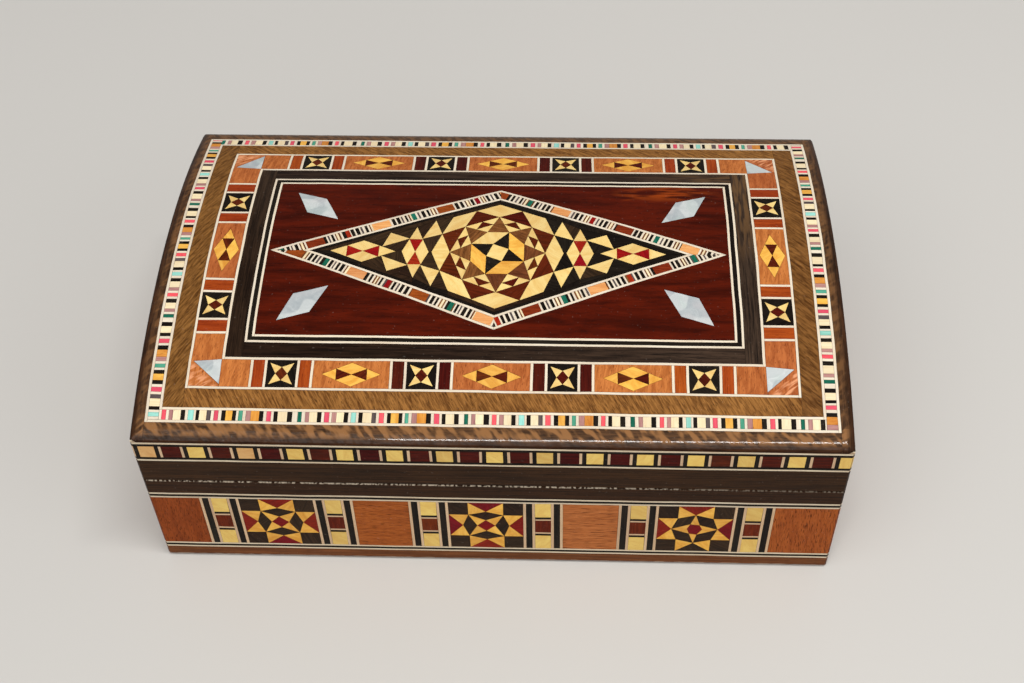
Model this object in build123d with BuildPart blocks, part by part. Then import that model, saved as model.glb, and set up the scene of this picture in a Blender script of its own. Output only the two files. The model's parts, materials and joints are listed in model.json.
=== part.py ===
from build123d import *
from math import asin, ceil, cos, hypot, radians, sin, tan
import os

os.makedirs("parts", exist_ok=True)

# Inlaid wooden box with a domed lid. The front faces -Y, the origin is under the middle of the box.

# Outside
length = 180
width = 114
side_height = 52.1
dome_rise = 9.5
seam_height = 34.9
seam_gap = 0.2
corner_chamfer = 0.5
edge_chamfer = 0.5

# Boards, sheets and linings
wall = 8
veneer = 0.8
panel_thickness = 4.2
floor_thickness = 4
rabbet_width = 3
felt_thickness = 0.8
felt_margin = 1
lining = 1
lining_drop = 0.6
floor_pad = 1.5
glue_line = 0.06

# Butt hinges
hinge_spacing = 100
hinge_length = 18
pin_inset = 2
pin_radius = 0.5
barrel_radius = 1.4
knuckles = 3
knuckle_gap = 0.15
bore_clearance = 0.05
barrel_clearance = 0.3
leaf_reach = 4.6
leaf_thickness = 0.8
leaf_clearance = 0.05
bevel_angle = 54

# Bands on the faces, from the bottom up
plinth_band = 3.8
light_line = 0.65
dark_line = 0.9
field_height = 21.2
lid_rim_height = 8.6
cell_height = 4.5

# Field on the faces of the box
field_pitch = 54.9
field_shift = -1.8
star_width = 19.6
bar_light = 0.75
bar_dark = 1.6
cell_width = 4.2
cell_red_height = 5.6

# Star panel, in shares of its half width and half height
star_corner = 0.47
star_waist = 0.62
star_heart = 0.24

# Cells along the front of the lid
lid_cell_shift = 1.2
lid_cell_slip = 1.75
lid_cell_red = 4.8

# Frames on the dome, from the edge moulding inwards
edge_strip = 3.3
edge_strip_front = 4.9
line_width = 0.7
cell_band = 2.75
walnut_border = 5.15
pear_frame = 7.75
ebony_border = 4.4
ebony_line = 1.1

# Pear frame: lozenge panels, bars and star squares
corner_panel = 7.5
long_bar = 2.9
long_star = 7.6
short_bar = 3.4
short_star = 8.2
motif_share = 0.77
motif_height = 3.4
wedge_share = 0.52
spark_reach = 3.1
spark_notch = 1.9
spark_waist = 1.55

# Large lozenge: its distance from the ends and the sides of the field round it
lozenge_end_gap = 0.5
lozenge_side_gap = 2.25
lozenge_band_width = 2.75

# Half sizes that the mother-of-pearl and the star field are drawn for; both stretch with the real ones
drawn_field = (61.5, 27.95)
drawn_ground = (48, 20.2)

# Star field inside the lozenge, radii along the length of the box
star_points = 8
octagon_radius = 7.7
point_radius = 12.75
valley_radius = 16.35
tip_radius = 17.7
star_stretch = 1.08

# Figures beside the star: lozenges, and kites that touch them part of the way up their sides
upright_centre = 22.05
upright_half = (9.3, 3.6)
upright_wedge = 4.6
upright_touch = 0.52
level_centre = 36.1
level_half = (8.8, 3.9)
level_wedge = 4.3
level_touch = 0.42
near_kite_tip = (17.1, 12.1)
far_kite_tip = (29.1, 7.0)

# Tesserae that reach less than this along the arc are left flat
flat_limit = 10

# Mother-of-pearl
pearl_lozenge = [(56.5, 23.7), (48.2, 20.9), (44.0, 12.2), (52.9, 15.0)]
pearl_corner_reach = 7.1

# Heights and radii that follow
half_length = length / 2
half_width = width / 2
core_half_length = half_length - veneer
core_half_width = half_width - veneer
inner_half_length = half_length - wall
inner_half_width = half_width - wall
wood_bottom = felt_thickness
floor_top = wood_bottom + floor_thickness
pin_height = wood_bottom + seam_height
pin_y = half_width - pin_inset
box_top = pin_height - seam_gap / 2
lid_bottom = pin_height + seam_gap / 2
edge_height = wood_bottom + side_height
dome_top = edge_height + dome_rise
dome_radius = (half_width**2 + dome_rise**2) / (2 * dome_rise)
dome_centre = dome_top - dome_radius
half_arc = dome_radius * asin(half_width / dome_radius)
under_sheet_edge = dome_centre + ((dome_radius - veneer) ** 2 - half_width**2) ** 0.5
line_pair = 2 * light_line + dark_line
field_low = wood_bottom + plinth_band + line_pair
field_high = field_low + field_height
rim_low = field_high + line_pair
lid_cells_low = lid_bottom + lid_rim_height + light_line + dark_line
lid_cells_high = lid_cells_low + cell_height
bars_width = 4 * bar_light + 2 * bar_dark + cell_width
lid_cell_pitch = cell_width + 2 * lid_cell_slip + lid_cell_red


def save(piece, label):
    piece.part.label = label
    export_step(piece.part, f"parts/{label}.step")


# Outlines
def rectangle(x0, x1, y0, y1):
    return [(x0, y0), (x1, y0), (x1, y1), (x0, y1)]


def diamond(x, y, reach, height):
    return [(x - reach, y), (x, y - height), (x + reach, y), (x, y + height)]


def moved(outline, dx, dy):
    return [(x + dx, y + dy) for x, y in outline]


def turned(outline):
    return [(y, x) for x, y in outline]


def four_ways(outline):
    return [[(x * across, y * along) for x, y in outline] for across in (-1, 1) for along in (-1, 1)]


# The outline drawn in by a distance all round, or let out where the distance is below zero
def drawn_in(outline, distance=glue_line / 2):
    after = outline[1:] + outline[:1]
    turning = sum(x0 * y1 - x1 * y0 for (x0, y0), (x1, y1) in zip(outline, after))
    ring = outline if turning > 0 else outline[::-1]
    result = []
    for before, here, ahead in zip(ring[-1:] + ring[:-1], ring, ring[1:] + ring[:1]):
        forward = (Vector(*ahead) - Vector(*here)).normalized()
        backward = (Vector(*before) - Vector(*here)).normalized()
        corner = Vector(*here) + (forward + backward) * (distance / forward.cross(backward).Z)
        result.append((corner.X, corner.Y))
    return result


def polygons(outlines, distance=glue_line / 2):
    return [Polygon(*drawn_in(outline, distance), align=None, mode=Mode.PRIVATE) for outline in outlines]


# Solids that shape the rest
def dome_solid(depth, plan_length, plan_width):
    with BuildPart() as solid:
        with BuildSketch(Plane.YZ):
            with Locations((0, dome_centre)):
                Circle(dome_radius - depth)
            with Locations((0, dome_top / 2)):
                Rectangle(plan_width, dome_top, mode=Mode.INTERSECT)
        extrude(amount=plan_length / 2, both=True)
    return solid


def dome_layer(depth, thickness, plan_length, plan_width):
    with BuildPart() as layer:
        add(dome_solid(depth, plan_length, plan_width).part)
        add(dome_solid(depth + thickness, length + width, length + width).part, mode=Mode.SUBTRACT)
    return layer


def block(outline, bottom, top):
    with BuildPart() as solid:
        with BuildSketch(Plane.XY.offset(bottom)):
            Polygon(*outline, align=None)
        extrude(amount=top - bottom)
    return solid


with BuildPart() as outer_prism:
    with BuildSketch() as outer_plan:
        Rectangle(length, width)
        chamfer(outer_plan.vertices(), corner_chamfer)
    extrude(amount=dome_top)

with BuildPart() as top_sheet:
    add(dome_layer(0, veneer, length, width).part)
    add(outer_prism.part, mode=Mode.INTERSECT)
    chamfer(top_sheet.faces().sort_by(Axis.Z)[-1].outer_wire().edges(), edge_chamfer)

groove_height = (pin_inset + veneer) * tan(radians(bevel_angle))
with BuildPart() as back_groove:
    with BuildSketch(Plane.YZ):
        Polygon(
            (pin_y, pin_height),
            (half_width + veneer, pin_height + groove_height),
            (half_width + veneer, pin_height - groove_height),
            align=None,
        )
    extrude(amount=length, both=True)


# Hinges
hinge_places = [-hinge_spacing / 2, hinge_spacing / 2]
knuckle_length = (hinge_length - (knuckles - 1) * knuckle_gap) / knuckles


def rods(radius, start, rod_length, square=False):
    with BuildPart() as result:
        for x in hinge_places:
            with BuildSketch(Plane.YZ.offset(x + start)):
                with Locations((pin_y, pin_height)):
                    if square:
                        Rectangle(2 * radius, 2 * radius)
                    else:
                        Circle(radius)
            extrude(amount=rod_length)
    return result


def leaf_plates(side, clearance):
    face = box_top if side < 0 else lid_bottom
    reach = leaf_reach + clearance
    with BuildPart() as result:
        with BuildSketch(Plane.XY.offset(face)):
            with Locations(*[(x, pin_y - reach / 2) for x in hinge_places]):
                Rectangle(hinge_length + 2 * clearance, reach)
        extrude(amount=side * leaf_thickness)
    return result


def hinge_leaves(side):
    with BuildPart() as leaves:
        add(leaf_plates(side, 0).part)
        for index in range(knuckles):
            start = index * (knuckle_length + knuckle_gap) - hinge_length / 2
            if (index % 2 == 0) == (side < 0):
                add(rods(barrel_radius, start, knuckle_length).part)
            else:
                add(rods(barrel_radius + knuckle_gap, start - knuckle_gap,
                         knuckle_length + 2 * knuckle_gap, square=True).part, mode=Mode.SUBTRACT)
        bore = rods(pin_radius + bore_clearance, -hinge_length, 2 * hinge_length)
        add(bore.part, mode=Mode.SUBTRACT)
    return leaves


# What the hinge takes out of the wood on one side of the seam
def hinge_room(side):
    with BuildPart() as room:
        add(back_groove.part)
        add(rods(barrel_radius + barrel_clearance, -hinge_length / 2 - barrel_clearance,
                 hinge_length + 2 * barrel_clearance, square=True).part)
        add(leaf_plates(side, leaf_clearance).part)
    return room


box_hinge_room = hinge_room(-1)
lid_hinge_room = hinge_room(1)

save(hinge_leaves(-1), "hinge_box_leaves")
save(hinge_leaves(1), "hinge_lid_leaves")
save(rods(pin_radius, -hinge_length / 2, hinge_length), "hinge_pins")

# Boards, mitred at the corners
board_plans = {
    "front": [
        (-core_half_length, -core_half_width),
        (core_half_length, -core_half_width),
        (inner_half_length, -inner_half_width),
        (-inner_half_length, -inner_half_width),
    ],
    "left": [
        (-core_half_length, -core_half_width),
        (-inner_half_length, -inner_half_width),
        (-inner_half_length, inner_half_width),
        (-core_half_length, core_half_width),
    ],
}
board_plans["back"] = [(-x, -y) for x, y in board_plans["front"]]
board_plans["right"] = [(-x, -y) for x, y in board_plans["left"]]

rabbet_half_length = inner_half_length + rabbet_width
rabbet_half_width = inner_half_width + rabbet_width
floor_plan = rectangle(-rabbet_half_length, rabbet_half_length, -rabbet_half_width, rabbet_half_width)
box_floor = block(floor_plan, wood_bottom, floor_top)
save(box_floor, "box_floor")

for side, plan in board_plans.items():
    with BuildPart() as box_wall:
        add(block(plan, wood_bottom, box_top).part)
        add(box_floor.part, mode=Mode.SUBTRACT)
        add(box_hinge_room.part, mode=Mode.SUBTRACT)
    save(box_wall, f"box_{side}_wall")

under_panel = dome_solid(veneer + panel_thickness, length, width)
for side, plan in board_plans.items():
    with BuildPart() as lid_wall:
        add(block(plan, lid_bottom, dome_top).part)
        add(under_panel.part, mode=Mode.INTERSECT)
        add(lid_hinge_room.part, mode=Mode.SUBTRACT)
    save(lid_wall, f"lid_{side}_wall")

save(dome_layer(veneer, panel_thickness, 2 * core_half_length, 2 * core_half_width), "lid_panel")

# Felt and linings
felt_half_length = half_length - felt_margin
felt_half_width = half_width - felt_margin
felt_plan = rectangle(-felt_half_length, felt_half_length, -felt_half_width, felt_half_width)
save(block(felt_plan, 0, felt_thickness), "box_felt")


def lining_ring(bottom, top):
    with BuildPart() as ring:
        with BuildSketch(Plane.XY.offset(bottom)):
            Rectangle(2 * inner_half_length, 2 * inner_half_width)
            Rectangle(2 * (inner_half_length - lining), 2 * (inner_half_width - lining), mode=Mode.SUBTRACT)
        extrude(amount=top - bottom)
    return ring


save(lining_ring(floor_top, box_top - lining_drop), "box_lining_walls")
pad_half_length = inner_half_length - lining
pad_half_width = inner_half_width - lining
save(block(rectangle(-pad_half_length, pad_half_length, -pad_half_width, pad_half_width),
           floor_top, floor_top + floor_pad), "box_lining_floor")

lining_depth = veneer + panel_thickness
save(dome_layer(lining_depth, lining, 2 * inner_half_length, 2 * inner_half_width), "lid_lining_top")
with BuildPart() as lid_lining_walls:
    add(lining_ring(lid_bottom + lining_drop, dome_top).part)
    add(dome_solid(lining_depth + lining, length, width).part, mode=Mode.INTERSECT)
save(lid_lining_walls, "lid_lining_walls")

# Faces that carry the inlay: x runs along the face, y up, and the sheet grows outwards
faces = {
    "front": Plane(origin=(0, -core_half_width, 0), x_dir=(1, 0, 0), z_dir=(0, -1, 0)),
    "back": Plane(origin=(0, core_half_width, 0), x_dir=(-1, 0, 0), z_dir=(0, 1, 0)),
    "left": Plane(origin=(-core_half_length, 0, 0), x_dir=(0, -1, 0), z_dir=(-1, 0, 0)),
    "right": Plane(origin=(core_half_length, 0, 0), x_dir=(0, 1, 0), z_dir=(1, 0, 0)),
}
half_spans = {"front": half_length, "back": half_length, "left": core_half_width, "right": core_half_width}


# Inlay on the four faces, from a function that gives the outlines on one side
def face_inlay(outlines_on, label, cut=None, extra=None):
    with BuildPart() as pieces:
        for side, plane in faces.items():
            outlines = outlines_on(side)
            if outlines:
                with BuildSketch(plane):
                    add(polygons(outlines))
        extrude(amount=veneer)
        add(outer_prism.part, mode=Mode.INTERSECT)
        if cut:
            add(cut.part, mode=Mode.SUBTRACT)
        if extra:
            add(extra.part)
    save(pieces, label)


def strip_along(side, low, high):
    return rectangle(-half_spans[side], half_spans[side], low, high)


def bands(*heights):
    return lambda side: [strip_along(side, low, high) for low, high in heights]


def line_heights(low):
    return [(low, low + light_line), (low + light_line + dark_line, low + line_pair)]


low_dark = field_low - light_line - dark_line
high_dark = field_high + light_line
face_inlay(bands((wood_bottom, wood_bottom + plinth_band)), "box_plinth_band")
face_inlay(bands(*line_heights(field_low - line_pair), *line_heights(field_high)), "box_light_lines")
face_inlay(bands((low_dark, low_dark + dark_line), (high_dark, high_dark + dark_line)), "box_dark_lines")
face_inlay(bands((rim_low, box_top)), "box_rim_band", box_hinge_room)

# The ends of the lid rise above the lines in a segment under the dome
under_sheet = dome_solid(veneer, length, width)
with BuildPart() as end_segments:
    for side in ("left", "right"):
        with BuildSketch(faces[side]):
            Polygon(*strip_along(side, under_sheet_edge, dome_top), align=None)
    extrude(amount=veneer)
    add(under_sheet.part, mode=Mode.INTERSECT)


# The ends and the back have one strip where the front has cells
def lid_rim(side):
    strips_here = [strip_along(side, lid_bottom, lid_rim_high)]
    if side != "front":
        strips_here.append(strip_along(side, lid_cells_low, lid_cells_high))
    return strips_here


lid_rim_high = lid_bottom + lid_rim_height
face_inlay(lid_rim, "lid_rim_band", lid_hinge_room, end_segments)


# Cells along the front of the lid: places of one kind in a repeat, and their width
def lid_cells(places, cell):
    found = []
    count = ceil(half_length / lid_cell_pitch) + 1
    for index in range(-count, count + 1):
        for place in places:
            middle = lid_cell_shift + index * lid_cell_pitch + place
            left = max(middle - cell / 2, -half_length)
            right = min(middle + cell / 2, half_length)
            if right - left > lid_cell_slip / 2:
                found.append(rectangle(left, right, lid_cells_low, lid_cells_high))
    return lambda side: found if side == "front" else []


slip_place = (cell_width + lid_cell_slip) / 2
slips = lid_cells([-slip_place, slip_place], lid_cell_slip)
lid_dark_low = lid_rim_high + light_line
lid_dark_bands = bands((lid_dark_low, lid_cells_low), (lid_cells_high, lid_cells_high + dark_line))
lid_light_low = lid_cells_high + dark_line
face_inlay(bands((lid_rim_high, lid_dark_low), (lid_light_low, under_sheet_edge)), "lid_light_lines")
face_inlay(lambda side: lid_dark_bands(side) + slips(side), "lid_dark_lines")
face_inlay(lid_cells([0], cell_width), "lid_yellow_cells")
face_inlay(lid_cells([lid_cell_pitch / 2], lid_cell_red), "lid_red_cells")


# Field of the box: star panels, on the front between striped bars, and pear panels in the gaps
star_centres = {
    "front": [field_shift + index * field_pitch for index in (-1, 0, 1)],
    "left": [0],
    "right": [0],
    "back": [],
}


def bar_starts(side):
    if side != "front":
        return []
    return [start for centre in star_centres[side]
            for start in (centre - star_width / 2 - bars_width, centre + star_width / 2)]


def pear_panels(side):
    reach = star_width / 2 + (bars_width if side == "front" else 0)
    edges = [-half_spans[side]]
    for centre in star_centres[side]:
        edges += [centre - reach, centre + reach]
    edges.append(half_spans[side])
    return [rectangle(left, right, field_low, field_high) for left, right in zip(edges[::2], edges[1::2])]


cell_left = 2 * bar_light + bar_dark
cell_right = cell_left + cell_width
field_middle = (field_low + field_high) / 2
red_low = field_middle - cell_red_height / 2
red_high = field_middle + cell_red_height / 2
light_low = red_low - light_line
light_high = red_high + light_line
dark_low = light_low - dark_line
dark_high = light_high + dark_line


def cell_pieces(*heights):
    return lambda side: [rectangle(start + cell_left, start + cell_right, low, high)
                         for start in bar_starts(side) for low, high in heights]


def strips(width_of_strip, *places):
    return lambda side: [rectangle(start + place, start + place + width_of_strip, field_low, field_high)
                         for start in bar_starts(side) for place in places]


light_strips = strips(bar_light, 0, bar_light + bar_dark, cell_right, bars_width - bar_light)
dark_strips = strips(bar_dark, bar_light, cell_right + bar_light)
light_cell_lines = cell_pieces((light_low, red_low), (red_high, light_high))
dark_cell_lines = cell_pieces((dark_low, light_low), (light_high, dark_high))
face_inlay(pear_panels, "box_pear_panels")
face_inlay(lambda side: light_strips(side) + light_cell_lines(side), "box_light_bars")
face_inlay(lambda side: dark_strips(side) + dark_cell_lines(side), "box_dark_bars")
face_inlay(cell_pieces((field_low, dark_low), (dark_high, field_high)), "box_yellow_cells")
face_inlay(cell_pieces((red_low, red_high)), "box_red_cells")


# Star panels: each kind of tessera, drawn in a square from -1 to 1
def star_pieces(unit_outlines):
    def outlines(side):
        return [[(centre + x * star_width / 2, field_middle + y * field_height / 2) for x, y in outline]
                for centre in star_centres[side] for outline in unit_outlines]

    return outlines


corner_point = (star_corner, star_corner)
top_rhomb = [corner_point, (0, star_waist), (-star_corner, star_corner), (0, star_heart)]
black_star = four_ways(rectangle(star_corner, 1, star_corner, 1))
black_star += [top_rhomb, [(x, -y) for x, y in top_rhomb]]
black_star += [turned(top_rhomb), [(-y, x) for x, y in top_rhomb]]
gold_star = four_ways([corner_point, (0, star_heart), (star_heart, 0)])
gold_star += four_ways([(star_corner, 1), corner_point, (0, star_waist)])
gold_star += four_ways([(1, star_corner), corner_point, (star_waist, 0)])
top_red = [(-star_corner, 1), (star_corner, 1), (0, star_waist)]
red_star = [diamond(0, 0, star_heart, star_heart)]
red_star += [top_red, [(x, -y) for x, y in top_red]]
red_star += [turned(top_red), [(-y, x) for x, y in top_red]]
face_inlay(star_pieces(black_star), "box_star_ebony")
face_inlay(star_pieces(gold_star), "box_star_gold")
face_inlay(star_pieces(red_star), "box_star_red")


# Inlay on the dome: x along the box, s along the arc from the ridge
def on_plan(outline):
    return [(x, dome_radius * sin(s / dome_radius)) for x, s in outline]


def middle_of(values):
    return (min(values) + max(values)) / 2


# The plane under a flat tessera, along the panel below this place
def seat(x, s):
    lean = s / dome_radius
    height = dome_centre + dome_radius * cos(lean) - veneer / cos(lean)
    origin = (x, dome_radius * sin(lean), height)
    return Plane(origin=origin, x_dir=(1, 0, 0), z_dir=(0, sin(lean), cos(lean)))


# An outline on that plane, straight below its place on the plan
def on_seat(outline, x, s):
    lean = s / dome_radius
    return [(px - x, (py - dome_radius * sin(lean)) / cos(lean)) for px, py in on_plan(outline)]


def is_flat(outline):
    reaches = [s for x, s in outline]
    return max(reaches) - min(reaches) < flat_limit


def dome_inlay(outlines, label, openings=()):
    curved = [on_plan(outline) for outline in outlines if not is_flat(outline)]
    with BuildPart() as pieces:
        if curved:
            with BuildSketch(Plane.XY.offset(under_sheet_edge - veneer)):
                add(polygons(curved))
                if openings:
                    holes = polygons([on_plan(opening) for opening in openings], -glue_line / 2)
                    add(holes, mode=Mode.SUBTRACT)
            extrude(amount=dome_top - under_sheet_edge + 2 * veneer)
            add(top_sheet.part, mode=Mode.INTERSECT)
        flat = []
        for outline in outlines:
            if is_flat(outline):
                x = middle_of([x for x, s in outline])
                s = middle_of([s for x, s in outline])
                near = [on_seat(opening, x, s) for opening in openings
                        if abs(middle_of([corner[1] for corner in opening]) - s) < flat_limit]
                with BuildSketch(seat(x, s), mode=Mode.PRIVATE) as figure:
                    add(polygons([on_seat(outline, x, s)]))
                    if near:
                        add(polygons(near, -glue_line / 2), mode=Mode.SUBTRACT)
                depth = veneer / cos(s / dome_radius)
                flat.append(extrude(figure.sketch, amount=depth, dir=(0, 0, 1), mode=Mode.PRIVATE))
        if flat:
            add(flat)
    save(pieces, label)


# Four strips of a frame: the long ones between the short ones
def frame_strips(reach_x, reach_s, strip_x, strip_s):
    long_strip = rectangle(strip_x - reach_x, reach_x - strip_x, reach_s - strip_s, reach_s)
    short_strip = rectangle(reach_x - strip_x, reach_x, -reach_s, reach_s)
    return [long_strip, [(x, -s) for x, s in long_strip], short_strip, [(-x, s) for x, s in short_strip]]


dome_inlay(frame_strips(half_length, half_arc, edge_strip, edge_strip_front), "lid_edge_moulding")

frame_widths = [
    ("light", line_width),
    ("cells", cell_band),
    ("light", line_width),
    ("walnut", walnut_border),
    ("light", light_line),
    ("pear", pear_frame),
    ("light", line_width),
    ("ebony", ebony_border),
    ("light", light_line),
    ("dark", ebony_line),
    ("light", light_line),
]
frames = {}
reach_x = half_length - edge_strip
reach_s = half_arc - edge_strip_front
for kind, strip in frame_widths:
    frames.setdefault(kind, []).extend(frame_strips(reach_x, reach_s, strip, strip))
    if kind == "pear":
        pear_x, pear_s = reach_x, reach_s
    reach_x -= strip
    reach_s -= strip

dome_inlay(frames["cells"], "lid_cell_band")
dome_inlay(frames["walnut"], "lid_walnut_border")
dome_inlay(frames["ebony"], "lid_ebony_border")

# Pear frame: one row along the length and one across, each from its middle outwards
inner_pear_x = pear_x - pear_frame
inner_pear_s = pear_s - pear_frame
rows = {
    "long": (inner_pear_x - corner_panel, pear_s - pear_frame / 2, long_bar, long_star, 2),
    "short": (inner_pear_s - corner_panel, pear_x - pear_frame / 2, short_bar, short_star, 1),
}
row_kinds = {"line": [], "bar": [], "square": [], "panel": []}
row_centres = {}
for name, (row_end, row_s, bar, star, repeats) in rows.items():
    edging = bar + 2 * line_width
    pitch = (row_end - star / 2 - edging) / (repeats - 1 / 2)
    lozenge_half = (pitch - star) / 2 - edging
    found = {kind: [] for kind in row_kinds}
    lozenge_centres = [index * pitch for index in range(1 - repeats, repeats)]
    square_centres = [(index + 0.5) * pitch for index in range(-repeats, repeats)]
    for centre in lozenge_centres:
        found["panel"].append((centre - lozenge_half, centre + lozenge_half))
    for centre in square_centres:
        found["square"].append((centre - star / 2, centre + star / 2))
        for way in (-1, 1):
            near = centre + way * (star / 2 + line_width)
            far = near + way * bar
            found["line"].append(sorted((centre + way * star / 2, near)))
            found["bar"].append(sorted((near, far)))
            found["line"].append(sorted((far, far + way * line_width)))
    for kind, stretches in found.items():
        for low, high in stretches:
            for row in (-row_s, row_s):
                outline = rectangle(low, high, row - pear_frame / 2, row + pear_frame / 2)
                row_kinds[kind].append(outline if name == "long" else turned(outline))
    row_centres[name] = (row_s, lozenge_half, lozenge_centres, square_centres)

corner_long = four_ways(rectangle(inner_pear_x - corner_panel, inner_pear_x, inner_pear_s, pear_s))
corner_short = four_ways(rectangle(inner_pear_x, pear_x, inner_pear_s - corner_panel, pear_s))
pearl_corner = [
    (inner_pear_x, inner_pear_s),
    (inner_pear_x + pearl_corner_reach, inner_pear_s + line_width),
    (inner_pear_x, inner_pear_s + pearl_corner_reach),
]
pearl_corners = four_ways(pearl_corner)


# A figure placed at the middle of each star square, or of each lozenge panel to fit its half length
def in_rows(figure, centres, row_s, name):
    at = [moved(outline, centre, row) for centre in centres for row in (-row_s, row_s) for outline in figure]
    return at if name == "long" else [turned(outline) for outline in at]


def in_squares(figure):
    found = []
    for name, (row_s, lozenge_half, lozenge_centres, square_centres) in row_centres.items():
        found += in_rows(figure, square_centres, row_s, name)
    return found


def in_panels(figure_for):
    found = []
    for name, (row_s, lozenge_half, lozenge_centres, square_centres) in row_centres.items():
        found += in_rows(figure_for(motif_share * lozenge_half), lozenge_centres, row_s, name)
    return found


# A long lozenge with two dark wedges that meet in its middle: light pieces, then dark ones
def hourglass(reach, height, wedge_x):
    wedge_y = height * (1 - wedge_x / reach)
    tip = [(reach, 0), (wedge_x, wedge_y), (wedge_x, -wedge_y)]
    wedge = [(0, 0), (wedge_x, wedge_y), (wedge_x, -wedge_y)]
    rhomb = [(0, 0), (wedge_x, wedge_y), (0, height), (-wedge_x, wedge_y)]
    light = [tip, [(-x, y) for x, y in tip], rhomb, [(x, -y) for x, y in rhomb]]
    return light, [wedge, [(-x, y) for x, y in wedge]]


def motif(reach):
    return hourglass(reach, motif_height, wedge_share * reach)


spark = four_ways([(spark_reach, spark_reach), (0, spark_notch), (spark_waist, 0)])
spark_heart = [diamond(0, 0, spark_waist, spark_notch)]
spark_outline = [
    (spark_reach, spark_reach), (0, spark_notch), (-spark_reach, spark_reach), (-spark_waist, 0),
    (-spark_reach, -spark_reach), (0, -spark_notch), (spark_reach, -spark_reach), (spark_waist, 0),
]
panel_openings = in_panels(lambda reach: [diamond(0, 0, reach, motif_height)]) + pearl_corners
dome_inlay(row_kinds["panel"] + corner_long + corner_short, "lid_pear_panels", panel_openings)
dome_inlay(row_kinds["bar"], "lid_padauk_bars")
dome_inlay(row_kinds["square"], "lid_star_squares", in_squares([spark_outline]))
dome_inlay(in_squares(spark), "lid_star_sparks")
dome_inlay(in_panels(lambda reach: motif(reach)[0]), "lid_gold_lozenges")
dome_inlay(in_panels(lambda reach: motif(reach)[1]), "lid_brown_wedges")
dome_inlay(pearl_corners, "lid_pearl_corners")

# Large lozenge: bands between two outlines, mitred at the four tips
lozenge_reach = reach_x - lozenge_end_gap
lozenge_height = reach_s - lozenge_side_gap
lozenge_rise = lozenge_reach * lozenge_height / hypot(lozenge_reach, lozenge_height)


def lozenge_tips(inset):
    share = 1 - inset / lozenge_rise
    return lozenge_reach * share, lozenge_height * share


def lozenge_strips(outer, inner):
    outer_x, outer_s = lozenge_tips(outer)
    inner_x, inner_s = lozenge_tips(inner)
    return four_ways([(outer_x, 0), (0, outer_s), (0, inner_s), (inner_x, 0)])


band_end = line_width + lozenge_band_width
inner_line = band_end + line_width
dark_end = inner_line + dark_line
lozenge_outline = diamond(0, 0, lozenge_reach, lozenge_height)
ground_tips = lozenge_tips(dark_end)


def stretched(outlines, drawn, real):
    return [[(x * real[0] / drawn[0], s * real[1] / drawn[1]) for x, s in outline] for outline in outlines]


def in_ground(outlines):
    return stretched(outlines, drawn_ground, ground_tips)


pearls = stretched(four_ways(pearl_lozenge), drawn_field, (reach_x, reach_s))
field_outline = rectangle(-reach_x, reach_x, -reach_s, reach_s)
dome_inlay([field_outline], "lid_mahogany_field", [lozenge_outline] + pearls)
dome_inlay(pearls, "lid_pearl_lozenges")
dome_inlay(lozenge_strips(line_width, band_end), "lid_lozenge_band")
lozenge_lines = lozenge_strips(0, line_width) + lozenge_strips(band_end, inner_line)
dome_inlay(frames["light"] + row_kinds["line"] + lozenge_lines, "lid_dome_light_lines")
dome_inlay(frames["dark"] + lozenge_strips(inner_line, dark_end), "lid_dome_dark_lines")


# Star field: points by radius and angle, stretched across the box
def around(radius, angle):
    return radius * cos(radians(angle)), star_stretch * radius * sin(radians(angle))


def between(first, second):
    return (first[0] + second[0]) / 2, (first[1] + second[1]) / 2


point_angle = 360 / star_points
cream = []
gold = []
brown = []
maroon = []
red = []
dark = []

# Pinwheel in the octagon: four parallelograms, each on two of its sides, with dark triangles between them
inner_corners = []
outer_corners = []
for turn in range(0, 360, 90):
    first, second, third = [around(octagon_radius, turn + step * point_angle) for step in (1.5, 2.5, 3.5)]
    inner = (first[0] + third[0] - second[0], first[1] + third[1] - second[1])
    gold.append([first, second, third, inner])
    inner_corners.append(inner)
    outer_corners.append(third)
cream.append(inner_corners)
for inner, outer, next_inner in zip(inner_corners, outer_corners, inner_corners[1:] + inner_corners[:1]):
    dark.append([inner, outer, next_inner])

# Eight points round the octagon, with small triangles between them and rhombs outside
for point in range(star_points):
    angle = point * point_angle
    tip = around(point_radius, angle)
    next_tip = around(point_radius, angle + point_angle)
    corner = around(octagon_radius, angle + point_angle / 2)
    last_corner = around(octagon_radius, angle - point_angle / 2)
    valley = around(valley_radius, angle + point_angle / 2)
    last_valley = around(valley_radius, angle - point_angle / 2)
    brown.append([last_corner, tip, corner])
    middles = [between(tip, next_tip), between(next_tip, corner), between(corner, tip)]
    cream.append([tip, middles[0], middles[2]])
    cream.append([next_tip, middles[1], middles[0]])
    cream.append([corner, middles[2], middles[1]])
    cream.append([tip, last_valley, around(tip_radius, angle), valley])
    maroon.append(middles)
    maroon.append([tip, valley, next_tip])

# Hourglass lozenges on both sides of the star, one upright and one level
upright_light, upright_dark = hourglass(*upright_half, upright_wedge)
level_light, level_dark = hourglass(*level_half, level_wedge)
for way in (-1, 1):
    cream += [moved(turned(outline), way * upright_centre, 0) for outline in upright_light]
    red += [moved(turned(outline), way * upright_centre, 0) for outline in upright_dark]
    cream += [moved(outline, way * level_centre, 0) for outline in level_light]
    red += [moved(outline, way * level_centre, 0) for outline in level_dark]

# Places in one quarter, from the star to the tip of the ground
star_right, star_dip, star_shoulder, star_notch, star_top = [
    around(valley_radius if step % 2 else tip_radius, step * point_angle / 2) for step in range(5)]
upright_near = (upright_centre - upright_half[1], 0)
upright_top = (upright_centre, upright_half[0])
upright_far = (upright_centre + upright_half[1], 0)
level_near = (level_centre - level_half[0], 0)
level_top = (level_centre, level_half[1])
level_far = (level_centre + level_half[0], 0)
ground_end = (drawn_ground[0], 0)


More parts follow.
